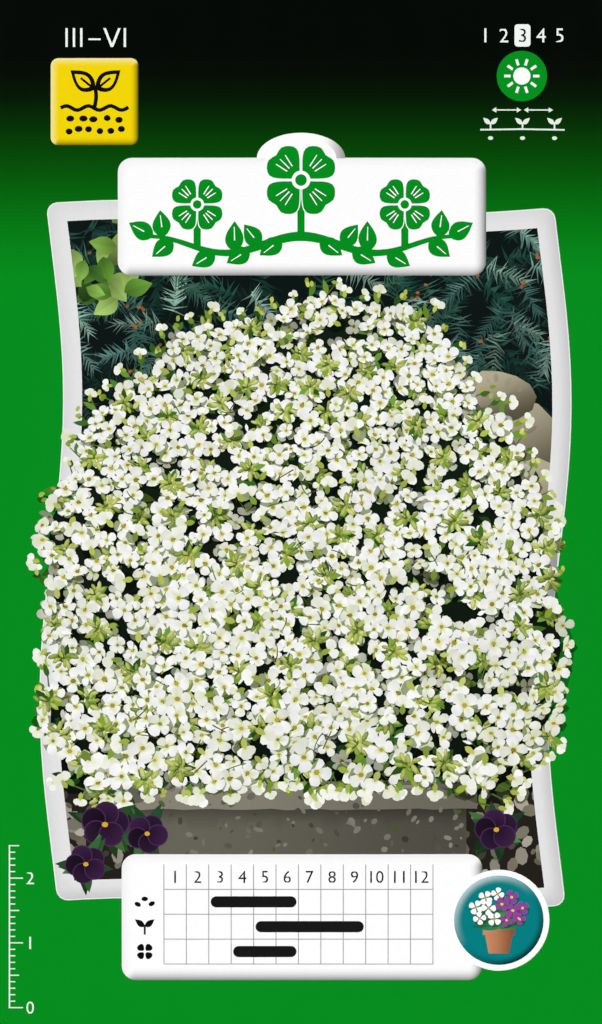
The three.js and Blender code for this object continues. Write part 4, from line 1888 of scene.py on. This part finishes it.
def coatedPaper():  # an even satin sheet with full colours; the folds show a few white fibres
    name = "coated paper, offset printed, satin lacquer, folded"
    material, tree, shader = newMaterial(name, paperLook["roughness"])
    ink = addNode(tree, "ShaderNodeAttribute", {"attribute_name": "ink"})
    wear = addNode(tree, "ShaderNodeAttribute", {"attribute_name": "foldWear"})
    place = addNode(tree, "ShaderNodeTexCoord").outputs["Object"]
    grain = addNoise(tree, place, paperLook["grainSize"], 2.0)
    fibres = addNoise(tree, place, paperLook["fibreSize"], 3.0)
    low, high = 1 - paperLook["grainShare"], 1 + paperLook["grainShare"]
    level = addNode(tree, "ShaderNodeMapRange",
                    {"From Min": 0.3, "From Max": 0.7, "To Min": low, "To Max": high},
                    {"Value": grain.outputs["Fac"]})
    toned = addNode(tree, "ShaderNodeVectorMath", {"operation": "SCALE"},
                    {0: ink.outputs["Color"], "Scale": level.outputs["Result"]})
    both = addNode(tree, "ShaderNodeMath", {"operation": "MULTIPLY"},
                   {0: wear.outputs["Fac"], 1: fibres.outputs["Fac"]})
    worn = addNode(tree, "ShaderNodeMapRange",
                   {"From Min": 0.46, "From Max": 0.62, "To Min": 0.0, "To Max": paperLook["wearShare"]},
                   {"Value": both.outputs[0]})
    colour = addNode(tree, "ShaderNodeMix", {"data_type": "RGBA"}, {0: worn.outputs["Result"]})
    tree.links.new(toned.outputs["Vector"], colour.inputs[6])
    colour.inputs[7].default_value = (*linear(paperLook["fibreTone"]), 1)
    bump = addBump(tree, 0.5, paperLook["bumpDepth"], grain.outputs["Fac"])
    tree.links.new(colour.outputs[2], shader.inputs["Base Color"])
    tree.links.new(bump.outputs["Normal"], shader.inputs["Normal"])
    return material


def uncoatedPaper():  # the bare matte side and the cut edge
    material, tree, shader = newMaterial("bare paper, uncoated side, guillotine cut edge", 0.85)
    place = addNode(tree, "ShaderNodeTexCoord").outputs["Object"]
    fibres = addNoise(tree, place, paperLook["grainSize"], 5.0)
    ramp = addRamp(tree, fibres.outputs["Fac"], paperLook["innerTone"], 0.9)
    ramp.color_ramp.elements[0].position = 0.35
    ramp.color_ramp.elements[1].position = 0.65
    bump = addBump(tree, 0.4, 0.01, fibres.outputs["Fac"])
    tree.links.new(ramp.outputs["Color"], shader.inputs["Base Color"])
    tree.links.new(bump.outputs["Normal"], shader.inputs["Normal"])
    return material


envelope = buildEnvelope()
envelope.data.materials.append(coatedPaper())
envelope.data.materials.append(uncoatedPaper())
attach(envelope, "root")
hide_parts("envelope")


# Thin sheets: an outline with a lower and an upper level, closed at its edge
def thinSheet(name, outline, lines, step, lower, upper):
    points, edges, outline = [], [], cleaned(outline)
    for line in [outline] + lines:
        addLoop(points, edges, line)
    left, bottom = (min(point[k] for point in outline) for k in (0, 1))
    right, top = (max(point[k] for point in outline) for k in (0, 1))
    columns, rows = int((right - left) / step), int((top - bottom) / step)
    for i in range(1, columns):
        for j in range(1, rows):
            points.append((left + (right - left) * i / columns, bottom + (top - bottom) * j / rows))
    found, triangles, _, owners = triangulate(points, edges, [list(range(len(outline)))])
    kept = [corners for corners, owner in zip(triangles, owners) if owner]
    size = len(found)
    vertices = [Vector((p.x, p.y, upper(p.x, p.y))) for p in found]
    vertices += [Vector((p.x, p.y, lower(p.x, p.y))) for p in found]
    faces = [tuple(c) for c in kept] + [tuple(size + i for i in reversed(c)) for c in kept]
    rims = openEdges(kept)
    faces += [(p, size + p, size + q, q) for p, q in rims]
    mesh = bpy.data.meshes.new(name)
    mesh.from_pydata([v * mm for v in vertices], [], faces)
    mesh.polygons.foreach_set("use_smooth", [True] * (2 * len(kept)) + [False] * len(rims))
    return newObject(mesh)


# Glue: strips that spread unevenly when the paper was pressed on them
glue = {
    "waveStep": 2.0,
    "wave": 0.45,
    "tone": "#d9cfae",
    "streak": 1.2,
    "gridStep": 3.5,
}


def glueOutline(low, high, rng):
    across, wave = high.x - low.x > high.y - low.y, glue["wave"] * mm
    start, end, near, far = (low.x, high.x, low.y, high.y) if across else (low.y, high.y, low.x, high.x)
    count = int((end - start) / (glue["waveStep"] * mm))
    found = []
    for i in range(count + 1):
        found.append((start + (end - start) * i / count, near + wave * rng.random()))
    for i in range(count, -1, -1):
        found.append((start + (end - start) * i / count, far - wave * rng.random()))
    return [((a, b) if across else (b, a)) for a, b in found]


def driedGlue():  # a thin yellowish film with a dull shine
    material, tree, shader = newMaterial("dried dispersion glue, roller spread", 0.45)
    place = addNode(tree, "ShaderNodeTexCoord").outputs["Object"]
    streaks = addNoise(tree, place, glue["streak"], 3.0)
    ramp = addRamp(tree, streaks.outputs["Fac"], glue["tone"], 0.8)
    tree.links.new(ramp.outputs["Color"], shader.inputs["Base Color"])
    return material


glueDraw = random.Random(8)
glueMaterial = driedGlue()
for node in ("seam_glue", "top_flap_glue", "bottom_flap_glue"):
    low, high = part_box(node)
    outline = [(x / mm, y / mm) for x, y in glueOutline(low, high, glueDraw)]
    strip = thinSheet(node + "_film", outline, [], glue["gridStep"],
                      lambda x, y, z=low.z / mm: z, lambda x, y, z=high.z / mm: z)
    strip.data.materials.append(glueMaterial)
    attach(strip, "root")
    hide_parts(node)


# Foil sachet: two foils with ribbed seals and pinked ends
_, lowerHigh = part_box("sachet_lower_foil")
upperLow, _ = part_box("sachet_upper_foil")
sachet = {
    "half": (34, 52),
    "centreY": -10,
    "seal": 7,
    "foil": 0.1,
    "pocketRise": 1.5,
    "ribPitch": 1.75,
    "ribDepth": 0.035,
    "tooth": 1.1,
    "toothStep": 1.7,
    "crinkle": 0.05,
    "tone": "#d4d6d8",
    "gridStep": 2.2,
    "crease": (6, 0.12),  # size and depth
    "rolling": 0.8,
}


def sachetInset(x, y):
    wide, high = sachet["half"]
    return min(wide - abs(x), high - abs(y - sachet["centreY"]))


def sachetRib(x, y):
    inset = sachetInset(x, y)
    if inset > sachet["seal"] or inset < sachet["tooth"]:
        return 0.0
    return sachet["ribDepth"] * cos(2 * pi * (inset - sachet["tooth"]) / sachet["ribPitch"])


def pocketLevel(x, y):
    wide, high = (size - sachet["seal"] for size in sachet["half"])
    a, b = 1 - (x / wide) ** 2, 1 - ((y - sachet["centreY"]) / high) ** 2
    if a <= 0 or b <= 0:
        return 0.0
    level = sachet["pocketRise"] * (a * b) ** 0.75
    fold = sin(x / 3.7 + 1.3 * sin(y / 7)) * sin(y / 5.1 + sin(x / 6))
    return level + sachet["crinkle"] * fold * min(1.0, level) - sachet["crinkle"] * min(1.0, level)


def sachetOutline():
    wide, high = sachet["half"]
    count = int(2 * wide / sachet["toothStep"])
    found = []
    for sign in (-1, 1):
        for i in range(2 * count + 1):
            x = sign * (-wide + 2 * wide * i / (2 * count))
            found.append((x, sachet["centreY"] + sign * (high - (sachet["tooth"] if i % 2 else 0))))
    return found


def ribLines():
    (wide, high), centre = sachet["half"], sachet["centreY"]
    found, inset = [], sachet["tooth"]
    while inset < sachet["seal"] + 0.01:
        found.append(block(-wide + inset, centre - high + inset, wide - inset, centre + high - inset))
        inset += sachet["ribPitch"] / 2
    return found


def crinkledFoil():  # bright metal with small creases from the filling machine
    material, tree, shader = newMaterial("aluminium foil, rolled, heat sealed, creased", 0.5)
    place = addNode(tree, "ShaderNodeTexCoord").outputs["Object"]
    size, depth = sachet["crease"]
    creases = addNode(tree, "ShaderNodeTexVoronoi", {"Scale": 1 / (size * mm), "feature": "DISTANCE_TO_EDGE"},
                      {"Vector": place})
    rolling = addNoise(tree, place, sachet["rolling"], 4.0)
    height = addNode(tree, "ShaderNodeMath", {"operation": "ADD"},
                     {0: creases.outputs["Distance"], 1: rolling.outputs["Fac"]})
    bump = addBump(tree, 0.35, depth, height.outputs[0])
    dull = addNode(tree, "ShaderNodeMapRange", {"To Min": 0.22, "To Max": 0.42},
                   {"Value": rolling.outputs["Fac"]})
    tree.links.new(bump.outputs["Normal"], shader.inputs["Normal"])
    tree.links.new(dull.outputs["Result"], shader.inputs["Roughness"])
    shader.inputs["Base Color"].default_value = (*linear(sachet["tone"]), 1)
    shader.inputs["Metallic"].default_value = 1.0
    return material


foilMaterial = crinkledFoil()
lowerTop, upperBottom = lowerHigh.z / mm, upperLow.z / mm
foils = (
    ("sachet_lower_foil", lambda x, y: lowerTop - sachet["foil"] + sachetRib(x, y),
     lambda x, y: lowerTop + sachetRib(x, y)),
    ("sachet_upper_foil", lambda x, y: upperBottom + sachetRib(x, y) + pocketLevel(x, y),
     lambda x, y: upperBottom + sachet["foil"] + sachetRib(x, y) + pocketLevel(x, y)),
)
for node, lower, upper in foils:
    foil = thinSheet(node + "_sheet", sachetOutline(), ribLines(), sachet["gridStep"], lower, upper)
    foil.data.materials.append(foilMaterial)
    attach(foil, "root")
    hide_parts(node)
    print(f"{node}: {len(foil.data.polygons)} faces")


# Seeds: flat brown ovals with a paler rim, lying over one another
seedLow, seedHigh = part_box("seeds")
seed = {
    "count": 150,
    "half": (0.7, 0.54, 0.22),
    "rings": ((0.0, 1.0), (0.5, 0.8), (0.83, 0.42), (1.0, 0.0), (0.83, -0.42), (0.5, -0.8), (0.0, -1.0)),
    "around": 10,
    "layers": 2,
    "layerStep": 0.19,
    "lowest": 0.24,  # middle of the lower seeds over the foil
    "settle": 0.03,
    "turnStep": 2.39996,  # golden angle: spreads them evenly
    "edgeRoom": 0.9,
    "sideRoom": 0.75,
    "stray": 0.3,
    "sizes": (0.82, 1.05),
    "tip": 0.14,
    "dark": "#4a2a16",
    "light": "#8a5a30",
    "rim": "#b58a56",
    "rimShare": 0.7,
}


def buildSeeds():
    rng = random.Random(12)
    centre, room, stray = (seedLow + seedHigh) / 2 / mm, seed["edgeRoom"], seed["stray"]
    reachX, reachY = (seedHigh.x - seedLow.x) / 2 / mm - room, (seedHigh.y - seedLow.y) / 2 / mm - room
    left, right = seedLow.x / mm + seed["sideRoom"], seedHigh.x / mm - seed["sideRoom"]
    floor, vertices, faces, tones = seedLow.z / mm, [], [], []
    (long, wide, thick), rings, around = seed["half"], seed["rings"], seed["around"]
    perLayer = seed["count"] // seed["layers"]
    for number in range(seed["count"]):
        share = sqrt((number % perLayer + 0.5) / perLayer)
        layer = number // perLayer
        angle = number * seed["turnStep"] + layer
        x = centre.x + reachX * share * cos(angle) + rng.uniform(-stray, stray)
        y = centre.y + reachY * share * sin(angle) + rng.uniform(-stray, stray)
        x = max(left, min(right, x))
        level = floor + seed["lowest"] + layer * seed["layerStep"] + rng.uniform(0, seed["settle"])
        turn, tipX, tipY = rng.uniform(0, 6.3), rng.gauss(0, seed["tip"] / 2), rng.gauss(0, seed["tip"] / 2)
        size, tone = rng.uniform(*seed["sizes"]), rng.random()
        start = len(vertices)
        for reach, up in rings:
            for i in range(around if 0 < reach else 1):
                a = 2 * pi * i / around
                px, py = long * size * reach * cos(a), wide * size * reach * sin(a)
                qx, qy = px * cos(turn) - py * sin(turn), px * sin(turn) + py * cos(turn)
                z = max(floor, level + thick * size * up + tipX * qx + tipY * qy)
                vertices.append(Vector((x + qx, y + qy, z)))
                tones.append((tone, 1.0 if reach == 1.0 else 0.0))
        sizes = [around if 0 < reach else 1 for reach, _ in rings]
        firsts = [start + sum(sizes[:k]) for k in range(len(sizes))]
        for i in range(around):
            j = (i + 1) % around
            faces.append((firsts[0], firsts[1] + i, firsts[1] + j))
            for k in range(1, len(rings) - 2):
                faces.append((firsts[k] + i, firsts[k + 1] + i, firsts[k + 1] + j, firsts[k] + j))
            faces.append((firsts[-2] + j, firsts[-2] + i, firsts[-1]))
    mesh = bpy.data.meshes.new("loose_seeds")
    mesh.from_pydata([v * mm for v in vertices], [], faces)
    dark, light, rim = (linear(seed[key]) for key in ("dark", "light", "rim"))
    colours = []
    for tone, edge in tones:
        colours += (*mix(mix(dark, light, tone), rim, seed["rimShare"] * edge), 1)
    mesh.attributes.new("coatTone", "FLOAT_COLOR", "POINT").data.foreach_set("color", colours)
    mesh.polygons.foreach_set("use_smooth", [True] * len(faces))
    print(f"seeds: {len(faces)} faces")
    return newObject(mesh)


def seedCoat():  # dry and slightly rough, each seed a little lighter or darker
    material, tree, shader = newMaterial("seed coat, dried, finely pitted", 0.62)
    tone = addNode(tree, "ShaderNodeAttribute", {"attribute_name": "coatTone"})
    place = addNode(tree, "ShaderNodeTexCoord").outputs["Object"]
    pits = addNoise(tree, place, 0.25, 3.0)
    bump = addBump(tree, 0.5, 0.03, pits.outputs["Fac"])
    tree.links.new(tone.outputs["Color"], shader.inputs["Base Color"])
    tree.links.new(bump.outputs["Normal"], shader.inputs["Normal"])
    return material


seeds = buildSeeds()
seeds.data.materials.append(seedCoat())
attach(seeds, "root")
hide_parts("seeds")


# Floor, light and camera
studio = {
    "floorReach": 30.0,  # metres: a long lens sees far behind from low down
    "floorTone": "#e6e6e4",
    "floorDrop": 0.00005,
    "softboxes": (((-2.6, 1.3, 3.1), 67), ((2.6, 1.3, 3.1), 61),  # place and power
                  ((-1.9, -2.2, 3.0), 53), ((1.9, -2.2, 3.0), 53)),
    "softboxSize": (1.6, 1.6),
    "horizon": 0.7,
    "zenith": 0.0,
    "dusk": (0.1, 0.62),  # the sky fades out between these heights, so that it isn't mirrored from above
    "lens": 135,
    "sensor": 36,
    "margin": 0.988,
}


def buildStudio():
    bpy.ops.mesh.primitive_plane_add(size=studio["floorReach"], location=(0, 0, -studio["floorDrop"]))
    floor = bpy.context.object
    floor.name = "floor"
    material, _, shader = newMaterial("studio floor, matte board", 0.9)
    shader.inputs["Base Color"].default_value = (*linear(studio["floorTone"]), 1)
    floor.data.materials.append(material)
    for number, (place, power) in enumerate(studio["softboxes"]):
        light = bpy.data.lights.new(f"softbox_{number}", "AREA")
        light.shape = "RECTANGLE"
        light.size, light.size_y = studio["softboxSize"]
        light.energy = power
        holder = newObject(light)
        holder.location = place
        holder.rotation_euler = (-Vector(place)).to_track_quat("-Z", "Y").to_euler()
        holder.visible_camera = False
    world = bpy.data.worlds.new("studio")
    world.use_nodes = True
    tree = world.node_tree
    way = addNode(tree, "ShaderNodeTexCoord").outputs["Generated"]
    parts = addNode(tree, "ShaderNodeSeparateXYZ", None, {"Vector": way})
    low, high = studio["dusk"]
    span = {"From Min": low, "From Max": high, "To Min": studio["horizon"], "To Max": studio["zenith"]}
    sky = addNode(tree, "ShaderNodeMapRange", span, {"Value": parts.outputs["Z"]})
    tree.nodes["Background"].inputs["Color"].default_value = (1, 1, 1, 1)
    tree.links.new(sky.outputs["Result"], tree.nodes["Background"].inputs["Strength"])
    bpy.context.scene.world = world
    lens = bpy.data.cameras.new("camera")
    lens.lens, lens.sensor_width = studio["lens"], studio["sensor"]
    lens.clip_end = 50
    holder = newObject(lens)
    reach = blank["height"] * mm * studio["margin"] * studio["lens"] / studio["sensor"]
    holder.location = (0, 0, reach + blank["edgeLevel"] * mm)
    bpy.context.scene.camera = holder
    bpy.context.scene.view_settings.view_transform = "Standard"


buildStudio()
